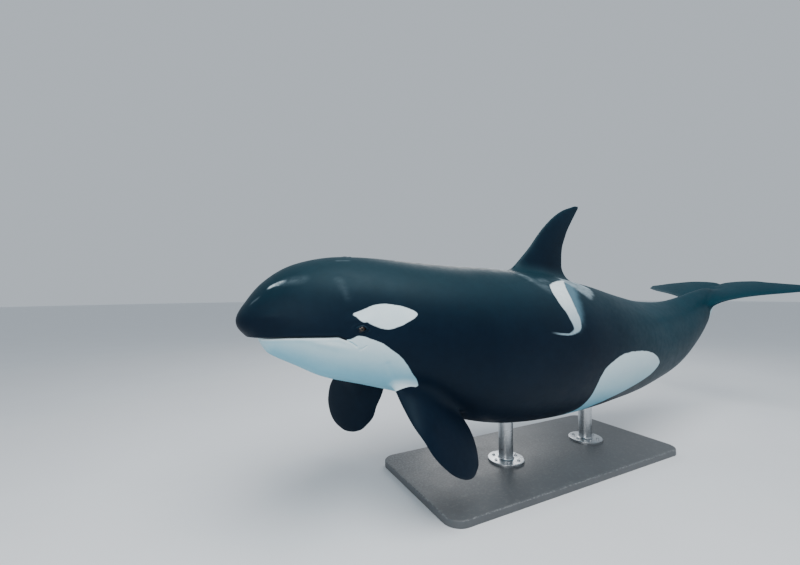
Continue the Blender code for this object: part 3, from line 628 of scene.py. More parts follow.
# Folds and small hollows: a line on the map, half width and depth
FOLDS = (
    (((0.1010, -13.4), (0.1075, -15.0), (0.1130, -17.6)), 0.0045, 0.0050),
    (((0.1165, -19.6), (0.1195, -18.4), (0.1228, -15.8)), 0.0035, 0.0030),
    (((0.0700, -62.0), (0.0950, -66.0), (0.1250, -72.0)), 0.0060, 0.0035),
    (((0.0780, -74.0), (0.1000, -77.0), (0.1200, -80.0)), 0.0060, 0.0030),
    (((0.1500, -30.0), (0.1560, -38.0), (0.1640, -46.0)), 0.0180, 0.0024),
    (((0.4690, -90.0), (0.4730, -90.0)), 0.0090, 0.0080),
    (((0.5880, -90.0), (0.6260, -90.0)), 0.0060, 0.0110),
    (((0.5960, -84.5), (0.6090, -84.5)), 0.0045, 0.0060),
    (((0.6400, -90.0), (0.6440, -90.0)), 0.0070, 0.0080),
    (((0.1322, -7.0), (0.1325, -7.0)), 0.0030, 0.0050),
)
# Soft swells: place on the map, half length, half height, rise
SWELLS = (
    ((0.030, 6.0), 0.075, 0.070, 0.006),
    ((0.085, -20.0), 0.140, 0.030, 0.004),
    ((0.125, 30.0), 0.200, 0.090, 0.005),
    ((0.200, -30.0), 0.160, 0.120, 0.012),
    ((0.720, 40.0), 0.550, 0.070, 0.004),
    ((0.720, -40.0), 0.500, 0.070, 0.004),
    ((0.607, -81.0), 0.160, 0.050, 0.012),
)


def fold_depth(u, v):
    """How deep the folds and hollows are at each place on the map."""
    depth = np.zeros(u.shape)
    for line, width, deep in FOLDS:
        flat = [map_place(*place) for place in line]
        away = np.min([from_line(u, v, a, b) for a, b in zip(flat[:-1], flat[1:])], axis=0)
        depth = np.maximum(depth, deep * hump(away, width))
    return depth


def swell_height(u, v):
    height = np.zeros(u.shape)
    for (t, degrees), length, tall, rise in SWELLS:
        at_u, at_v = map_place(t, degrees)
        height += rise * hump(u - at_u, length) * hump(v - at_v, tall)
    return height


def uneven(points, seed, wavelength):
    """A gentle unevenness from about -1 to 1, the sum of waves in seeded directions."""
    draw = np.random.default_rng(seed)
    total = np.zeros(points.shape[:-1])
    for _ in range(WAVES):
        direction = draw.normal(size=3)
        direction *= 2 * math.pi / wavelength * draw.uniform(0.6, 1.5) / np.linalg.norm(direction)
        total += np.sin(points @ direction + draw.uniform(0, 2 * math.pi))
    return total / math.sqrt(WAVES) / 1.5


def body_grid():
    places = ring_places()
    angles = np.stack([ring_angles(t) for t in places])
    t = np.repeat(places[:, None], angles.shape[1], 1)
    plain = skin_point(t.ravel(), angles.ravel()).reshape(*t.shape, 3)
    normal = outward(plain)
    degrees = np.degrees(np.where(np.cos(angles) >= 0, angles, math.pi - angles))
    u, v = map_place(t, degrees)
    fade = ramp(0.01, 0.05, t) * (1 - ramp(0.90, 0.97, t))
    waves, length, seed = BODY_WAVES
    rise = swell_height(u, v) - fold_depth(u, v) + fade * waves * uneven(plain, seed, length)
    shaped = plain + normal * rise[..., None]
    shaped = shape_lips(shaped)
    for side in (1, -1):
        shaped = shaped + lid_shape(plain, side)
    return shaped + blowhole_shape(plain)


# Fins

def fin_section(share):
    """Half thickness across a fin's chord as a share of its greatest, blunt in front and thin behind."""
    return 2.35 * np.sqrt(share) * (1 - share) ** 0.9 + 0.06 * np.sin(math.pi * share)


def fin_grid(places, lead, trail, half_thickness):
    """Rings across a fin, from the points of its edges and the way from its middle out to its surface."""
    share = (1 - np.cos(np.linspace(0, math.pi, FIN_COLUMNS + 1)))[:, None] / 2
    rings = []
    for s in places:
        middle = lead(s) + (trail(s) - lead(s)) * share
        out = half_thickness(s) * fin_section(share)
        rings.append(np.concatenate([middle + out, (middle - out)[-2:0:-1]]))
    return np.array(rings)


def rounded_places(count, start=0.0):
    """Places along a fin from its root to its tip, closer together at the tip."""
    even = np.linspace(0, 1, count)
    return start + (FIN_LAST_RING - start) * (1 - (1 - even) ** FIN_CROWDING)


def edge_curve(outline, index, share):
    """A fin's edge. The square root of the distance to the tip keeps the tip round."""
    reach = column(outline, 0) / outline[-1][0]
    inward = np.sqrt(1 - np.clip(share, 0, 1))
    return float(smooth(inward, np.sqrt(1 - reach)[::-1], column(outline, index)[::-1]))


def ripple(s, seed):
    """Slight wear along a fin's trailing edge."""
    wave = float(uneven(np.array([[s * 0.7, seed, 0.0]]), seed, EDGE_WEAR_LENGTH)[0])
    return wave * EDGE_WEAR * min(1, 4 * abs(s))


def fin_thickness(root, left, power, s):
    """A fin's thickness at a share of the way to its tip, where it is rounded."""
    s = max(s, 0)
    return root * (left + (1 - left) * (1 - s) ** power) * math.sqrt(max(1 - s**24, 0.02))


def dorsal_grid():
    height = DORSAL_OUTLINE[-1][0]

    def edge(index):
        def at(s):
            x = DORSAL_FOOT[0] + edge_curve(DORSAL_OUTLINE, index, s)
            x += min(s, 0) * DORSAL_ROOT_SPREAD * (3 - 2 * index)
            x += (index - 1) * ripple(s, 3) * (1 - max(s, 0)) ** 0.5
            return np.array([x, 0.0, DORSAL_FOOT[1] + s * height])
        return at

    def half_thickness(s):
        return np.array([0, fin_thickness(*DORSAL_THICKNESS, s) / 2, 0])

    return fin_grid(rounded_places(FIN_RINGS, -DORSAL_SINK / height), edge(1), edge(2), half_thickness)


def flipper_grid(side):
    aim, twist = FLIPPER_AIMS[side]
    root = np.array(FLIPPER_ROOT) * np.array([1, side, 1])
    axis = Vector(aim).normalized()
    back = Vector((1, 0, 0))
    level = (back - axis * back.dot(axis)).normalized()
    inward = np.array([0, side, SHOULDER_RISE])

    def chord(s):
        share = SHOULDER_TWIST + (1 - SHOULDER_TWIST) * ramp(0, SHOULDER_REACH, s)
        turn = math.radians(twist) * side * share
        return np.array(level * math.cos(turn) + axis.cross(level) * math.sin(turn))

    def edge(index):
        def at(s):
            bend = SHOULDER_BEND * max(0, SHOULDER_REACH - s) ** 2
            middle = root + np.array(axis) * FLIPPER_LENGTH * s + inward * bend
            place = edge_curve(FLIPPER_OUTLINE, index, s)
            return middle + chord(s) * (FLIPPER_LENGTH * place + (index - 1) * ripple(s, 5 + side))
        return at

    def half_thickness(s):
        return np.cross(np.array(axis), chord(s)) * fin_thickness(*FLIPPER_THICKNESS, s) / 2

    places = rounded_places(FIN_RINGS, -FLIPPER_SINK / FLIPPER_LENGTH)
    return fin_grid(places, edge(1), edge(2), half_thickness)


def fluke_frame():
    """The notch's place, and the ways backwards and upwards in the flukes' plane."""
    x, z, tilt = spine_at(1.0)
    ahead, rise = math.cos(tilt), math.sin(tilt)
    return np.array([x, 0, z]), np.array([ahead, 0, rise]), np.array([-rise, 0, ahead])


def fluke_rise(away):
    """Height of the flukes over their plane at a signed distance to the left of the midline."""
    s = np.abs(away) / FLUKE_HALF_SPAN
    return FLUKE_ARCH * 4 * s * (1 - s) - FLUKE_DROOP * s * s - away * math.sin(math.radians(FLUKE_ROLL))


def fluke_grid():
    """Both flukes as one, from the left tip to the right."""
    notch, back, up = fluke_frame()

    def edge(index):
        def at(s):
            away = s * FLUKE_HALF_SPAN
            wear = (index - 1) * ripple(abs(s), 9 if s > 0 else 12)
            place = edge_curve(FLUKE_OUTLINE, index, abs(s)) + wear
            return notch + back * place + up * fluke_rise(away) + np.array([0, -away, 0])
        return at

    def half_thickness(s):
        return up * fin_thickness(*FLUKE_THICKNESS, abs(s)) / 2

    half = rounded_places(FLUKE_RINGS)
    return fin_grid(np.concatenate([half[:0:-1], -half]), edge(1), edge(2), half_thickness)


# Meshes

def closed_mesh(name, grid):
    """A closed mesh from a grid of rings, its ends fanned to their middles and its faces outwards."""
    rings, columns = grid.shape[:2]
    points = np.concatenate([grid.reshape(-1, 3), [grid[0].mean(0)], [grid[-1].mean(0)]])
    count = rings * columns
    here = np.arange(count).reshape(rings, columns)
    ahead = np.roll(here, -1, 1)
    quads = np.stack([here[:-1], ahead[:-1], ahead[1:], here[1:]], -1).reshape(-1, 4)
    first = np.stack([ahead[0], here[0], np.full(columns, count)], -1)
    last = np.stack([here[-1], ahead[-1], np.full(columns, count + 1)], -1)
    mesh = bpy.data.meshes.new(name)
    mesh.from_pydata(points.tolist(), [], quads.tolist() + first.tolist() + last.tolist())
    work = bmesh.new()
    work.from_mesh(mesh)
    if work.calc_volume(signed=True) < 0:
        bmesh.ops.reverse_faces(work, faces=work.faces)
    work.to_mesh(mesh)
    work.free()
    return mesh


def mesh_from(name, work):
    """A mesh from a working mesh, which is then let go."""
    mesh = bpy.data.meshes.new(name)
    work.to_mesh(mesh)
    work.free()
    return mesh


def add_object(name, mesh, *materials):
    item = bpy.data.objects.new(name, mesh)
    bpy.context.scene.collection.objects.link(item)
    for material in materials:
        mesh.materials.append(material)
    return item


def points_of(mesh):
    points = np.empty(len(mesh.vertices) * 3, np.float32)
    mesh.vertices.foreach_get("co", points)
    return points.reshape(-1, 3).astype(float)


def united(whole, parts):
    """One closed mesh from the whole and its parts, which are then removed."""
    for part in parts:
        joined = whole.modifiers.new("joined", "BOOLEAN")
        joined.operation = "UNION"
        joined.solver = "MANIFOLD"
        joined.object = part
    graph = bpy.context.evaluated_depsgraph_get()
    mesh = bpy.data.meshes.new_from_object(whole.evaluated_get(graph))
    whole.modifiers.clear()
    whole.data = mesh
    for part in parts:
        bpy.data.objects.remove(part)
    return whole


def surface_of(item):
    """The object's surface as it is now, for finding the nearest places on it."""
    work = bmesh.new()
    work.from_mesh(item.data)
    surface = BVHTree.FromBMesh(work)
    work.free()
    return surface


def ways_out(point, surfaces, reach):
    """A point's distance from each surface and the way out of it, or nothing if one is beyond the reach."""
    found = []
    for surface in surfaces:
        nearest, normal, _, distance = surface.find_nearest(point, reach)
        if nearest is None:
            return []
        if distance > TOUCHING:
            normal = (point - nearest) / distance
        found.append((distance, normal))
    return found


def onto_hollow(point, surfaces, reach):
    """Moves a point near a fin's root out to the hollow curve that blends the fin with the body."""
    for _ in range(3):
        found = ways_out(point, surfaces, reach)
        if not found:
            return point
        (first, way_out), (second, other_way) = sorted(found, key=lambda pair: pair[0])
        size = reach * min(1.0, ROOT_TURN * max(0.0, 1.0 - way_out.dot(other_way)))
        overlap = size - (second - first)
        if overlap <= 0:
            return point
        share = overlap / (2 * size)
        slope = way_out * (1 - share) + other_way * share
        missing = overlap * overlap / (4 * size) - first
        point = point + slope * (missing / max(slope.length_squared, ROOT_STEEPEST))
    return point


def ease_root(mesh, surfaces, box, reach):
    """Eases the skin at one fin's root, then evens out its points and settles them again."""
    points = points_of(mesh)
    near = np.flatnonzero(((points > box[0] - reach) & (points < box[1] + reach)).all(1))
    weight = np.zeros(len(points))
    for i in near:
        found = ways_out(Vector(points[i]), surfaces, reach)
        if found:
            weight[i] = 1 - max(distance for distance, _ in found) / reach
    live = np.flatnonzero(weight > 0)
    edges = np.empty(len(mesh.edges) * 2, np.int32)
    mesh.edges.foreach_get("vertices", edges)
    edges = edges.reshape(-1, 2)
    a, b = edges[(weight[edges] > 0).any(1)].T
    count = np.maximum(np.bincount(a, minlength=len(points)) + np.bincount(b, minlength=len(points)), 1)
    pull = ROOT_PULL * np.sqrt(weight)
    for rounds, settle in ((0, True), (ROOT_ROUNDS, True), (ROOT_ROUNDS // 3, False)):
        for _ in range(rounds):
            for value in points.T:
                total = np.bincount(a, value[b], len(points)) + np.bincount(b, value[a], len(points))
                value += pull * np.where(weight > 0, total / count - value, 0)
        if settle:
            for i in live:
                points[i] = onto_hollow(Vector(points[i]), surfaces, reach)
    mesh.vertices.foreach_set("co", points.astype(np.float32).ravel())
    mesh.update()


def set_attribute(mesh, name, values):
    attribute = mesh.attributes.new(name, "FLOAT", "POINT")
    attribute.data.foreach_set("value", np.asarray(values, np.float32))


def fluke_white(points):
    """How far points lie inside the white under the flukes, and which points are near the flukes."""
    notch, back, up = fluke_frame()
    away = points - notch
    behind, side, height = away @ back, -away[:, 1], away @ up
    share = np.clip(np.abs(side) / FLUKE_HALF_SPAN, 0, 0.999)
    spread = column(FLUKE_OUTLINE, 0) / FLUKE_HALF_SPAN
    lead, trail = (np.interp(share, spread, column(FLUKE_OUTLINE, index)) for index in (1, 2))
    under = fluke_rise(side) - height - 0.001
    behind_lead = behind - lead - FLUKE_DARK_FRONT - FLUKE_DARK_WIDENING * share
    inset = np.minimum(behind_lead, trail - behind - FLUKE_DARK_EDGE)
    inset = np.minimum(inset, (FLUKE_WHITE_SPAN - share) * FLUKE_HALF_SPAN)
    return np.minimum(inset, under * FLUKE_RIM_SHARPNESS), behind > -FLUKE_WHITE_REACH


def mark_skin(mesh):
    """Writes how far each point is inside the white and the saddle, and how pale the marks and the painted
    highlight behind the dorsal fin are.
    """
    points = points_of(mesh)
    t, degrees, over = on_the_map(points)
    u, v = map_place(t, degrees)
    off_body = np.maximum(over - PATCH_LIFT, 0) * PATCH_LOSS

    above_mouth = points[:, 2] - mouth_line(points[:, 0])
    before_corner = points[:, 0] < MOUTH_CORNER_X - 0.004
    belly = reach_inside(u, v, CHIN_AND_BELLY)
    belly = np.where(before_corner, np.minimum(belly, -above_mouth - 0.001), belly)
    white = np.maximum(belly, reach_inside(u, v, EYE_PATCH)) - off_body
    under_flukes, near_flukes = fluke_white(points)
    near_flukes &= t > FLUKE_WHITE_START
    white = np.where(near_flukes, np.maximum(white, under_flukes), white)

    pale = np.zeros(len(points))
    side = np.where(points[:, 1] < 0, 1, -1)
    on_body = 1 - ramp(*STROKE_LIFT, over)
    for start, end, width, soft, strength, sides in PALE_STROKES:
        away = from_line(u, v, map_place(*start), map_place(*end))
        stroke = 1 - ramp(width - soft / 2, width + soft, away)
        pale = np.maximum(pale, strength * stroke * np.isin(side, sides) * on_body)

    hook_u, hook_v = map_place(*np.array(SADDLE_HOOK).T)
    for name, values in {
        "white_reach": white,
        "saddle_reach": reach_inside(u, v, SADDLE_BAND) - off_body,
        "shade_reach": reach_inside(u, v, SADDLE_SHADE) - off_body,
        "arm_reach": reach_inside(u, v, SADDLE_ARM) - off_body,
        "hook_offset": v - np.interp(u, hook_u, hook_v),
        "over_body": over,
        "pale_marks_and_highlight": pale,
        "along_body": t,
        "lip_line": np.where(before_corner, np.abs(above_mouth), 1.0),
    }.items():
        set_attribute(mesh, name, values)


# Materials

def feed(node, inputs):
    """Gives a node's inputs values or other nodes' outputs, and returns its own outputs."""
    for socket, value in inputs.items():
        if isinstance(value, bpy.types.NodeSocket):
            node.id_data.links.new(value, node.inputs[socket])
        else:
            node.inputs[socket].default_value = value
    return node.outputs


def put(tree, kind, inputs=None, **settings):
    """The outputs of a new node with these inputs and settings."""
    made = tree.nodes.new("ShaderNode" + kind)
    for name, value in settings.items():
        setattr(made, name, value)
    return feed(made, inputs or {})


def maths(operation, first, second=0.0, clamp=False):
    return put(first.id_data, "Math", {0: first, 1: second}, operation=operation, use_clamp=clamp)[0]


def plus(first, second, clamp=False):
    return maths("ADD", first, second, clamp)


def minus(first, second):
    return maths("SUBTRACT", first, second)


def times(first, *others):
    for other in others:
        first = maths("MULTIPLY", first, other)
    return first


def mix(share, first, second):
    """Two colours, given as red, green and blue or as nodes' outputs, mixed by a share."""
    tones = [tone if isinstance(tone, bpy.types.NodeSocket) else (*tone, 1) for tone in (first, second)]
    return put(share.id_data, "Mix", {0: share, 6: tones[0], 7: tones[1]}, data_type="RGBA")[2]


def eased(value, low, high, start=0.0, end=1.0):
    """The value from low to high, turned smoothly into start to end."""
    inputs = {"Value": value, "From Min": low, "From Max": high, "To Min": start, "To Max": end}
    return put(value.id_data, "MapRange", inputs, interpolation_type="SMOOTHSTEP")[0]


def noise(place, scale, detail=3.0, roughness=0.5, distortion=0.0):
    inputs = {"Vector": place, "Scale": scale, "Detail": detail}
    inputs |= {"Roughness": roughness, "Distortion": distortion}
    return put(place.id_data, "TexNoise", inputs)["Fac"]


def stretched(place, scale):
    return put(place.id_data, "Mapping", {"Vector": place, "Scale": scale})[0]


def attribute(tree, name):
    return put(tree, "Attribute", attribute_name=name)["Fac"]


def object_place(tree):
    return put(tree, "TexCoord")["Object"]


def facing_up(tree):
    """How far the surface faces upwards, from -1 to 1."""
    return put(tree, "SeparateXYZ", {0: put(tree, "NewGeometry")["Normal"]})["Z"]


def group(name, output, **inputs):
    """A new shader group with one output and these inputs: its tree, the inputs' sockets and the output's."""
    tree = bpy.data.node_groups.new(name, "ShaderNodeTree")
    for socket, value in inputs.items():
        kind = "NodeSocketVector" if isinstance(value, tuple) else "NodeSocketFloat"
        tree.interface.new_socket(socket, in_out="INPUT", socket_type=kind).default_value = value
    tree.interface.new_socket(output, in_out="OUTPUT", socket_type="NodeSocketFloat")
    return tree, tree.nodes.new("NodeGroupInput").outputs, tree.nodes.new("NodeGroupOutput").inputs[0]


def use(tree, made, **inputs):
    """The output of a group, used in a tree with these inputs."""
    node = tree.nodes.new("ShaderNodeGroup")
    node.node_tree = made
    return feed(node, inputs)[0]


def marking_edge_group():
    """A marking's mask from its reach: a narrow soft edge that wanders a little."""
    tree, given, gives = group("marking_edge", "Mask", Reach=0.0, Softness=0.004, Wander=0.004, Scale=14.0)
    place = object_place(tree)
    wide = minus(noise(place, given["Scale"], 2.0), 0.5)
    fine = minus(noise(place, times(given["Scale"], 7.0), 3.0), 0.5)
    both = plus(times(wide, 2.0), times(fine, 0.9))
    moved = plus(given["Reach"], times(both, given["Wander"]))
    low = times(given["Softness"], -1.0)
    tree.links.new(eased(moved, low, given["Softness"]), gives)
    return tree


def mottle_group():
    """Cloudy unevenness at two sizes."""
    tree, given, gives = group("mottle", "Value", Scale=3.0, Contrast=0.5)
    place = object_place(tree)
    wide = noise(place, given["Scale"], 4.0, 0.6, 0.4)
    fine = noise(place, times(given["Scale"], 9.0), 4.0, 0.6)
    both = plus(times(wide, 0.65), times(fine, 0.35))
    spread = times(minus(both, 0.5), times(given["Contrast"], 4.0))
    tree.links.new(plus(spread, 0.5, clamp=True), gives)
    return tree


def rake_group():
    """Sparse, thin, parallel scratches in short bunches, such as other whales' teeth leave."""
    tree, given, gives = group("rake_scratches", "Mask", Turn=(0.0, 0.0, 0.0), Spacing=0.02, Sparse=0.60)
    place = object_place(tree)
    aligned = put(tree, "Mapping", {"Vector": place, "Rotation": given["Turn"]})[0]
    across = put(tree, "SeparateXYZ", {0: aligned})["X"]
    wander = times(noise(aligned, 2.5, 1.0), 0.012)
    step = maths("DIVIDE", plus(across, wander), given["Spacing"])
    line = eased(maths("ABSOLUTE", minus(maths("FRACT", step), 0.5)), 0.07, 0.02)
    bunch = noise(stretched(aligned, (7.0, 1.6, 1.6)), 1.0, 1.0)
    bunch = eased(bunch, given["Sparse"], plus(given["Sparse"], 0.05))
    broken = eased(noise(stretched(aligned, (60.0, 5.0, 5.0)), 1.0, 1.0), 0.48, 0.60)
    area = eased(noise(place, 1.1, 1.0), 0.48, 0.56)
    tree.links.new(times(line, times(bunch, broken, area)), gives)
    return tree


def skin_relief_group():
    """Height of the skin's finest relief: faint ridges round the body, a fine grain and slow waves."""
    tree, given, gives = group("skin_relief", "Height", Ridges=0.1, Grain=0.3)
    place = object_place(tree)
    ridges = times(noise(stretched(place, (1.0, 0.12, 0.12)), 150.0, 2.0, 0.5, 0.3), given["Ridges"])
    grain = times(noise(place, 260.0, 3.0, 0.6), given["Grain"])
    slow = noise(place, 9.0)
    tree.links.new(plus(plus(ridges, grain), slow), gives)
    return tree


def new_material(name, **values):
    """A material with constant shader values, and its tree and shader."""
    material = bpy.data.materials.new(name)
    material.use_nodes = True
    tree = material.node_tree
    shader = tree.nodes["Principled BSDF"]
    for socket, value in values.items():
        shader.inputs[socket.replace("_", " ")].default_value = value
    return material, tree, shader


def paint(shader, colour, roughness, height, strength, depth):
    """Gives a shader its colour, its roughness and a relief."""
    relief = put(shader.id_data, "Bump", {"Height": height, "Strength": strength, "Distance": depth})
    feed(shader, {"Base Color": colour, "Roughness": roughness, "Normal": relief[0]})


def skin_material(groups):
    """Smooth, near-black skin with painted light: teal on top and astern, navy in painted shade below; cool
    white, blue in painted shade underneath, and saddle-grey markings.
    """
    material, tree, shader = new_material(
        "orca_skin", Specular_IOR_Level=0.12, Specular_Tint=(0.62, 0.90, 1.0, 1.0),
    )
    mottle = use(tree, groups["mottle"], Scale=2.6, Contrast=0.5)
    fine = use(tree, groups["mottle"], Scale=17.0, Contrast=0.6)
    place = object_place(tree)
    upward = facing_up(tree)
    height_over_floor = put(tree, "SeparateXYZ", {0: place})["Z"]
    along = attribute(tree, "along_body")
    over = attribute(tree, "over_body")

    # Painted light from above: the black is teal where it faces up and stands high, navy in painted shade
    # below
    painted_top_light = times(eased(upward, -0.15, 0.95), eased(height_over_floor, 0.85, 1.65))
    # Painted teal light on the rear of the body, stronger where the skin faces up
    painted_stern_light = times(eased(along, 0.42, 0.72), eased(upward, -0.9, 0.3, 0.45, 1.0))
    black = mix(painted_top_light, mix(mottle, *NAVY_PAINTED_SHADE), mix(mottle, *TEAL_PAINTED_TOP_LIGHT))
    black = mix(painted_stern_light, black, mix(mottle, *STERN_TEAL_PAINTED_LIGHT))
    # The white turns blue in painted shade where it faces down, less so on the flukes
    lit = maths("MAXIMUM", eased(upward, -0.86, 0.10), eased(along, 0.80, 0.92, 0.0, 0.65))
    white = mix(lit, mix(mottle, *WHITE_IN_PAINTED_SHADE), mix(fine, *WHITE))
    saddle_foot = mix(fine, *SADDLE_FOOT)
    saddle = mix(eased(height_over_floor, *SADDLE_FADE), saddle_foot, mix(fine, *SADDLE_TOP))

    def mask(reach, softness, wander, scale=16.0):
        settings = {"Softness": softness, "Wander": wander, "Scale": scale}
        return use(tree, groups["marking_edge"], Reach=attribute(tree, reach), **settings)

    streaks = eased(noise(stretched(place, (1.0, 2.2, 2.2)), 11.0, 5.0, 0.65), 0.30, 0.62, 0.30, 1.0)
    pale = times(attribute(tree, "pale_marks_and_highlight"), streaks)
    scratches = use(tree, groups["rake_scratches"], Turn=(0.0, 0.25, 1.2), Spacing=0.019, Sparse=0.58)
    scratches = times(scratches, eased(along, 0.22, 0.30), eased(over, 0.012, 0.004))
    zone = maths("POWER", mask("shade_reach", 0.055, 0.020), 1.6)
    arm = times(mask("arm_reach", 0.028, 0.022), eased(over, 0.020, 0.006), plus(times(streaks, 0.32), 0.25))
    hook = eased(maths("ABSOLUTE", attribute(tree, "hook_offset")), 0.0070, 0.0025)
    hook = times(hook, eased(along, 0.352, 0.378), eased(along, 0.396, 0.390))
    band = mask("saddle_reach", 0.007, 0.006)
    patches = mask("white_reach", 0.0030, 0.0045, 13.0)
    lips = eased(attribute(tree, "lip_line"), 0.0060, 0.0015)

    # Pale marks, and the painted highlight along the back behind the dorsal fin, turn the black grey and then
    # saddle-pale
    colour = mix(pale, black, mix(mottle, *SMEAR_AND_HIGHLIGHT_GREY))
    for marking, strength, tone in (
        (maths("POWER", pale, 2.2), 1.0, saddle),
        (scratches, 0.07, SCRATCH_GREY),
        (zone, 0.50, SADDLE_SHADE_GREY),
        (arm, 1.0, SADDLE_ARM_GREY),
        (hook, 0.80, saddle_foot),
        (band, 0.96, saddle),
        (patches, 1.0, white),
        (lips, 0.8, LIP_BLACK),
    ):
        colour = mix(times(marking, strength), colour, tone)

    roughness = eased(fine, 0.0, 1.0, 0.42, 0.52)
    relief = minus(use(tree, groups["skin_relief"], Ridges=0.10, Grain=0.22), times(scratches, 0.2))
    paint(shader, colour, roughness, relief, 0.16, 0.0010)
    return material


def eye_material():
    """A dark brown iris with radial streaks round a long pupil, in a darker globe with a wet surface."""
    material, tree, shader = new_material(
        "orca_eye", Roughness=0.12, Specular_IOR_Level=0.25, Coat_Weight=0.15, Coat_Roughness=0.03,
    )
    from_axis = attribute(tree, "from_axis")
    around = attribute(tree, "around_axis")
    place = put(tree, "CombineXYZ", {0: times(around, 9.0), 1: times(from_axis, 90.0)})[0]
    inputs = {"Vector": place, "Scale": 1.0, "Detail": 3.0}
    streaks = put(tree, "TexNoise", inputs, noise_dimensions="2D")["Fac"]
    globe = mix(noise(object_place(tree), 160.0), *GLOBE_BROWN)
    colour = mix(eased(from_axis, 0.0118, 0.0140), mix(streaks, *IRIS_BROWN), globe)
    rim = times(eased(from_axis, 0.0095, 0.0120), eased(from_axis, 0.0145, 0.0125), 0.8)
    colour = mix(rim, colour, IRIS_RIM)
    colour = mix(eased(attribute(tree, "from_pupil"), 1.12, 0.92), colour, PUPIL_BLACK)
    feed(shader, {"Base Color": colour})
    return material


def paint_material(groups):
    """Dark satin paint, lightly orange-peeled, with a little dust on top and rubbed edges."""
    material, tree, shader = new_material("stand_paint")
    mottle = use(tree, groups["mottle"], Scale=3.0, Contrast=0.5)
    place = object_place(tree)
    dust = times(eased(noise(place, 34.0, 5.0, 0.7), 0.50, 0.72), eased(facing_up(tree), 0.6, 1.0), 0.16)
    worn = times(attribute(tree, "edge_wear"), eased(noise(place, 60.0, 4.0, 0.7), 0.45, 0.62), 0.55)
    colour = mix(worn, mix(dust, mix(mottle, *PAINT_GREY), DUST_GREY), WORN_GREY)
    roughness = eased(mottle, 0.0, 1.0, 0.38, 0.52)
    paint(shader, colour, roughness, noise(place, 420.0, 2.0), 0.16, 0.0006)
    return material


def steel_material(groups):
    """Brushed steel: fine turned lines round the rods."""
    material, tree, shader = new_material("stand_steel", Metallic=1.0)
    lines = noise(stretched(object_place(tree), (0.6, 0.6, 40.0)), 14.0, 4.0, 0.6)
    mottle = use(tree, groups["mottle"], Scale=5.0, Contrast=0.4)
    colour = mix(times(mottle, 0.35), mix(lines, *STEEL_GREY), STEEL_CLOUD)
    paint(shader, colour, eased(lines, 0.3, 0.7, 0.24, 0.38), lines, 0.12, 0.0004)
    return material


# Pieces

def stand_in(item, slot, *nodes):
    """Rides a piece on the model and lets it stand for these solids, which it hides; the slot is not used."""
    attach(item, "root")
    if nodes:
        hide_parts(*nodes)
    return item


def make_skin(material):
    body = add_object("orca_skin", closed_mesh("orca_skin", body_grid()))
    fins = {
        "dorsal": dorsal_grid(),
        "flipper_left": flipper_grid(1),
        "flipper_right": flipper_grid(-1),
        "flukes": fluke_grid(),
    }
    parts = [add_object(name, closed_mesh(name, grid)) for name, grid in fins.items()]
    body_surface = surface_of(body)
    fin_surfaces = [surface_of(part) for part in parts]
    skin = united(body, parts)
    for (name, grid), fin_surface in zip(fins.items(), fin_surfaces):
        box = (grid.min((0, 1)), grid.max((0, 1)))
        ease_root(skin.data, (body_surface, fin_surface), box, ROOT_REACH[name])
    mark_skin(skin.data)
    skin.data.transform(Matrix.Translation(SNOUT))
    skin.data.materials.clear()
    skin.data.materials.append(material)
    skin.data.shade_smooth()
    return stand_in(
        skin, "black_skin", "head", "lower_jaw", "chest", "midbody", "tail_stock", "dorsal_fin",
        "flipper_left", "flipper_right", "fluke_left", "fluke_right",
    )


def make_eye(name, side, node, material):
    """A globe with the cornea's low dome, turned slightly forward and down."""
    mirror = np.array([1, side, 1])
    centre = skin_point(EYE_PLACE, math.radians(EYE_ANGLE)) * mirror + np.array([0, EYE_SUNK * side, 0])
    work = bmesh.new()
    bmesh.ops.create_uvsphere(work, u_segments=72, v_segments=48, radius=EYE_RADIUS)
    mesh = mesh_from(name, work)
    points = points_of(mesh)
    gaze = Vector(EYE_GAZE * mirror).normalized()
    across = np.array(gaze.cross(Vector((0, 0, 1))).normalized())
    gaze = np.array(gaze)
    facing = points @ gaze > 0
    sideways, upward = points @ across, points @ np.cross(across, gaze)
    away = np.where(facing, np.hypot(sideways, upward), EYE_RADIUS)
    points += gaze * (CORNEA_RISE * np.clip(1 - (away / CORNEA_RADIUS) ** 2, 0, 1))[:, None]
    mesh.vertices.foreach_set("co", points.astype(np.float32).ravel())
    set_attribute(mesh, "from_axis", away)
    set_attribute(mesh, "around_axis", np.arctan2(upward, sideways))
    from_pupil = np.hypot(sideways / PUPIL_SIZE[0], upward / PUPIL_SIZE[1])
    set_attribute(mesh, "from_pupil", np.where(facing, from_pupil, 9.0))
    mesh.transform(Matrix.Translation(Vector(SNOUT) + Vector(centre)))
    mesh.shade_smooth()
    return stand_in(add_object(name, mesh, material), "eye", node)


def rounded_plate(work, length, width, thickness, corner, edge):
    """A plate on the floor with round corners and an eased upper edge."""
    made = bmesh.ops.create_cube(work, size=1)["verts"]
    bmesh.ops.scale(work, verts=made, vec=(length, width, thickness))
    bmesh.ops.translate(work, verts=made, vec=(0, 0, thickness / 2))
    upright = [e for e in work.edges if abs(e.verts[0].co.z - e.verts[1].co.z) > thickness / 2]
    bmesh.ops.bevel(work, geom=upright, offset=corner, segments=20, profile=0.5, affect="EDGES")
    upper = [e for e in work.edges if min(v.co.z for v in e.verts) > thickness - 1e-5]
    rim = [e for e in upper if any(abs(f.normal.z) < 0.5 for f in e.link_faces)]
    bmesh.ops.bevel(work, geom=rim, offset=edge, segments=5, profile=0.5, affect="EDGES")


def crisp(mesh, degrees=35):
    """Smooth shading, apart from the edges that turn more than this."""
    mesh.shade_smooth()
    mesh.set_sharp_from_angle(angle=math.radians(degrees))


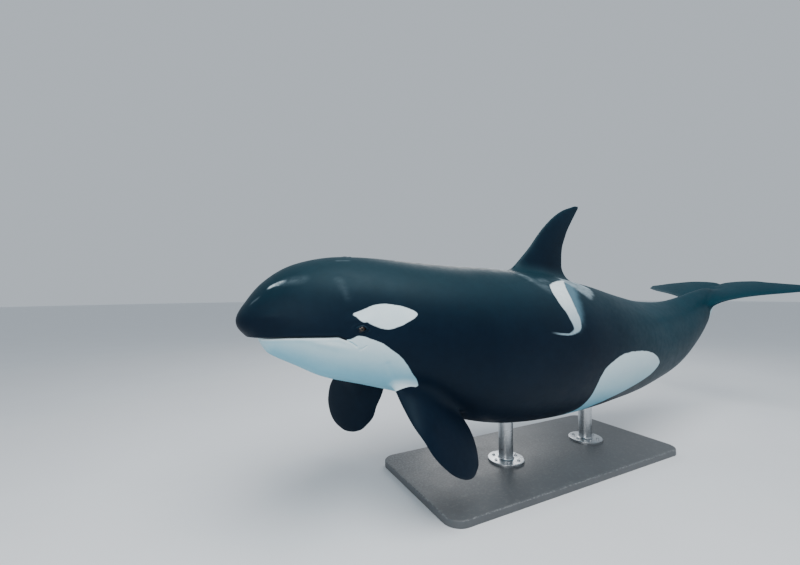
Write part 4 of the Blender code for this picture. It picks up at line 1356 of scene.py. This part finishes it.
def make_base(material):
    work = bmesh.new()
    rounded_plate(work, BASE_LENGTH, BASE_WIDTH, BASE_THICKNESS, BASE_CORNER, BASE_EDGE)
    mesh = mesh_from("display_base", work)
    along, across, height = np.abs(points_of(mesh)).T
    outer = (along > BASE_LENGTH / 2 - BASE_EDGE * 1.2) | (across > BASE_WIDTH / 2 - BASE_EDGE * 1.2)
    set_attribute(mesh, "edge_wear", outer & (height > BASE_THICKNESS - 0.7 * BASE_EDGE))
    crisp(mesh)
    return stand_in(add_object("display_base", mesh, material), "stand_paint", "stand_base")


def turned(work, profile, sides, x, y=0.0):
    """A solid turned about an upright line at x and y, from (radius, height) pairs."""
    turn = np.linspace(0, 2 * math.pi, sides, endpoint=False)
    rings = []
    for radius, height in profile:
        ring = zip(x + radius * np.cos(turn), y + radius * np.sin(turn))
        rings.append([work.verts.new((*place, height)) for place in ring])
    for below, above in zip(rings[:-1], rings[1:]):
        for i in range(sides):
            work.faces.new((below[i - 1], below[i], above[i], above[i - 1]))
    work.faces.new(rings[0][::-1])
    work.faces.new(rings[-1])


def body_underside(x, y):
    """Height of the belly over the floor at a point of the base."""
    angles = np.linspace(-0.5 * math.pi, -0.2, 60)
    t = np.full(60, (x - SNOUT[0]) / BODY_LENGTH)
    for _ in range(8):
        t = t + (x - SNOUT[0] - skin_point(t, angles)[:, 0]) / BODY_LENGTH
    place = skin_point(t, angles)
    return SNOUT[2] + float(np.interp(abs(y), -place[:, 1], place[:, 2]))


def make_rod(name, place, material):
    """A rod on its round foot. The belly's own curve shapes its top."""
    foot = BASE_THICKNESS + GAP
    top = foot + ROD_FOOT_THICKNESS
    profile = [(ROD_FOOT_RADIUS, foot), (ROD_FOOT_RADIUS, top - ROD_FOOT_EDGE)]
    for turn in np.linspace(0.2, QUARTER_TURN, 5):
        inward, down = ROD_FOOT_EDGE * (1 - math.cos(turn)), ROD_FOOT_EDGE * (1 - math.sin(turn))
        profile.append((ROD_FOOT_RADIUS - inward, top - down))
    for turn in np.linspace(0, QUARTER_TURN, 7):
        wider, up = ROD_FILLET * (1 - math.sin(turn)), ROD_FILLET * (1 - math.cos(turn))
        profile.append((ROD_RADIUS + wider, top + up))
    profile += [(ROD_RADIUS, height) for height in np.linspace(top + 0.02, ROD_TRIAL_TOP, 10)]
    work = bmesh.new()
    turned(work, profile, ROD_SIDES, place + SNOUT[0])
    for v in work.verts:
        if v.co.z > ROD_TRIAL_TOP - 0.001:
            v.co.z = body_underside(v.co.x, v.co.y) - 2 * GAP
    mesh = mesh_from(name, work)
    crisp(mesh)
    return stand_in(add_object(name.replace("stand", "display"), mesh, material), "stand_steel", name)


def make_bolts(material):
    """Cap screws on each rod's foot."""
    work = bmesh.new()
    foot_top = BASE_THICKNESS + GAP + ROD_FOOT_THICKNESS - BOLT_SUNK
    profile = [(radius, foot_top + height) for radius, height in BOLT_PROFILE]
    for place in ROD_PLACES.values():
        for turn in np.linspace(0, 2 * math.pi, BOLTS, endpoint=False):
            x = place + SNOUT[0] + BOLT_CIRCLE * math.cos(turn)
            turned(work, profile, BOLT_SIDES, x, BOLT_CIRCLE * math.sin(turn))
    mesh = mesh_from("display_bolts", work)
    crisp(mesh, 30)
    return stand_in(add_object("display_bolts", mesh, material), "stand_steel")


# Floor, lights and camera

def make_studio():
    """A plain pale floor under soft light from above."""
    work = bmesh.new()
    bmesh.ops.create_circle(work, cap_ends=True, segments=96, radius=FLOOR_RADIUS)
    material, tree, shader = new_material("pale_floor", Roughness=0.75, Specular_IOR_Level=0.2)
    feed(shader, {"Base Color": mix(noise(object_place(tree), 1.4, 4.0), *FLOOR_GREY)})
    floor = add_object("floor", mesh_from("floor", work), material)
    floor.location.z = -FLOOR_DROP

    world = bpy.data.worlds.new("studio")
    bpy.context.scene.world = world
    world.use_nodes = True
    background = {"Color": (*SURROUNDINGS, 1), "Strength": SURROUNDINGS_STRENGTH}
    feed(world.node_tree.nodes["Background"], background)

    for name, place, aim, size, power in LIGHTS:
        light = bpy.data.lights.new(name, "AREA")
        light.shape = "DISK"
        light.size = size
        light.energy = power
        lamp = bpy.data.objects.new(name, light)
        lamp.location = place
        lamp.rotation_euler = (Vector(aim) - Vector(place)).to_track_quat("-Z", "Y").to_euler()
        bpy.context.scene.collection.objects.link(lamp)


def make_camera():
    yaw, pitch, roll = (math.radians(a) for a in (CAMERA_YAW, CAMERA_PITCH, CAMERA_ROLL))
    view = Vector((math.sin(yaw) * math.cos(pitch), math.cos(yaw) * math.cos(pitch), math.sin(pitch)))
    level = Vector((math.cos(yaw), -math.sin(yaw), 0))
    over = level.cross(view)
    right = level * math.cos(roll) + over * math.sin(roll)
    up = over * math.cos(roll) - level * math.sin(roll)
    lens = bpy.data.cameras.new("camera")
    lens.lens = CAMERA_LENS
    lens.sensor_width = CAMERA_SENSOR
    camera = bpy.data.objects.new("camera", lens)
    camera.matrix_world = Matrix.Translation(CAMERA_PLACE) @ Matrix((right, up, -view)).transposed().to_4x4()
    bpy.context.scene.collection.objects.link(camera)
    bpy.context.scene.camera = camera


def make_orca():
    groups = {
        "marking_edge": marking_edge_group(),
        "mottle": mottle_group(),
        "rake_scratches": rake_group(),
        "skin_relief": skin_relief_group(),
    }
    make_skin(skin_material(groups))
    eye = eye_material()
    make_eye("orca_eye_left", 1, "eye_left", eye)
    make_eye("orca_eye_right", -1, "eye_right", eye)
    steel = steel_material(groups)
    make_base(paint_material(groups))
    for name, place in ROD_PLACES.items():
        make_rod(name, place, steel)
    make_bolts(steel)


make_camera()
make_studio()
make_orca()
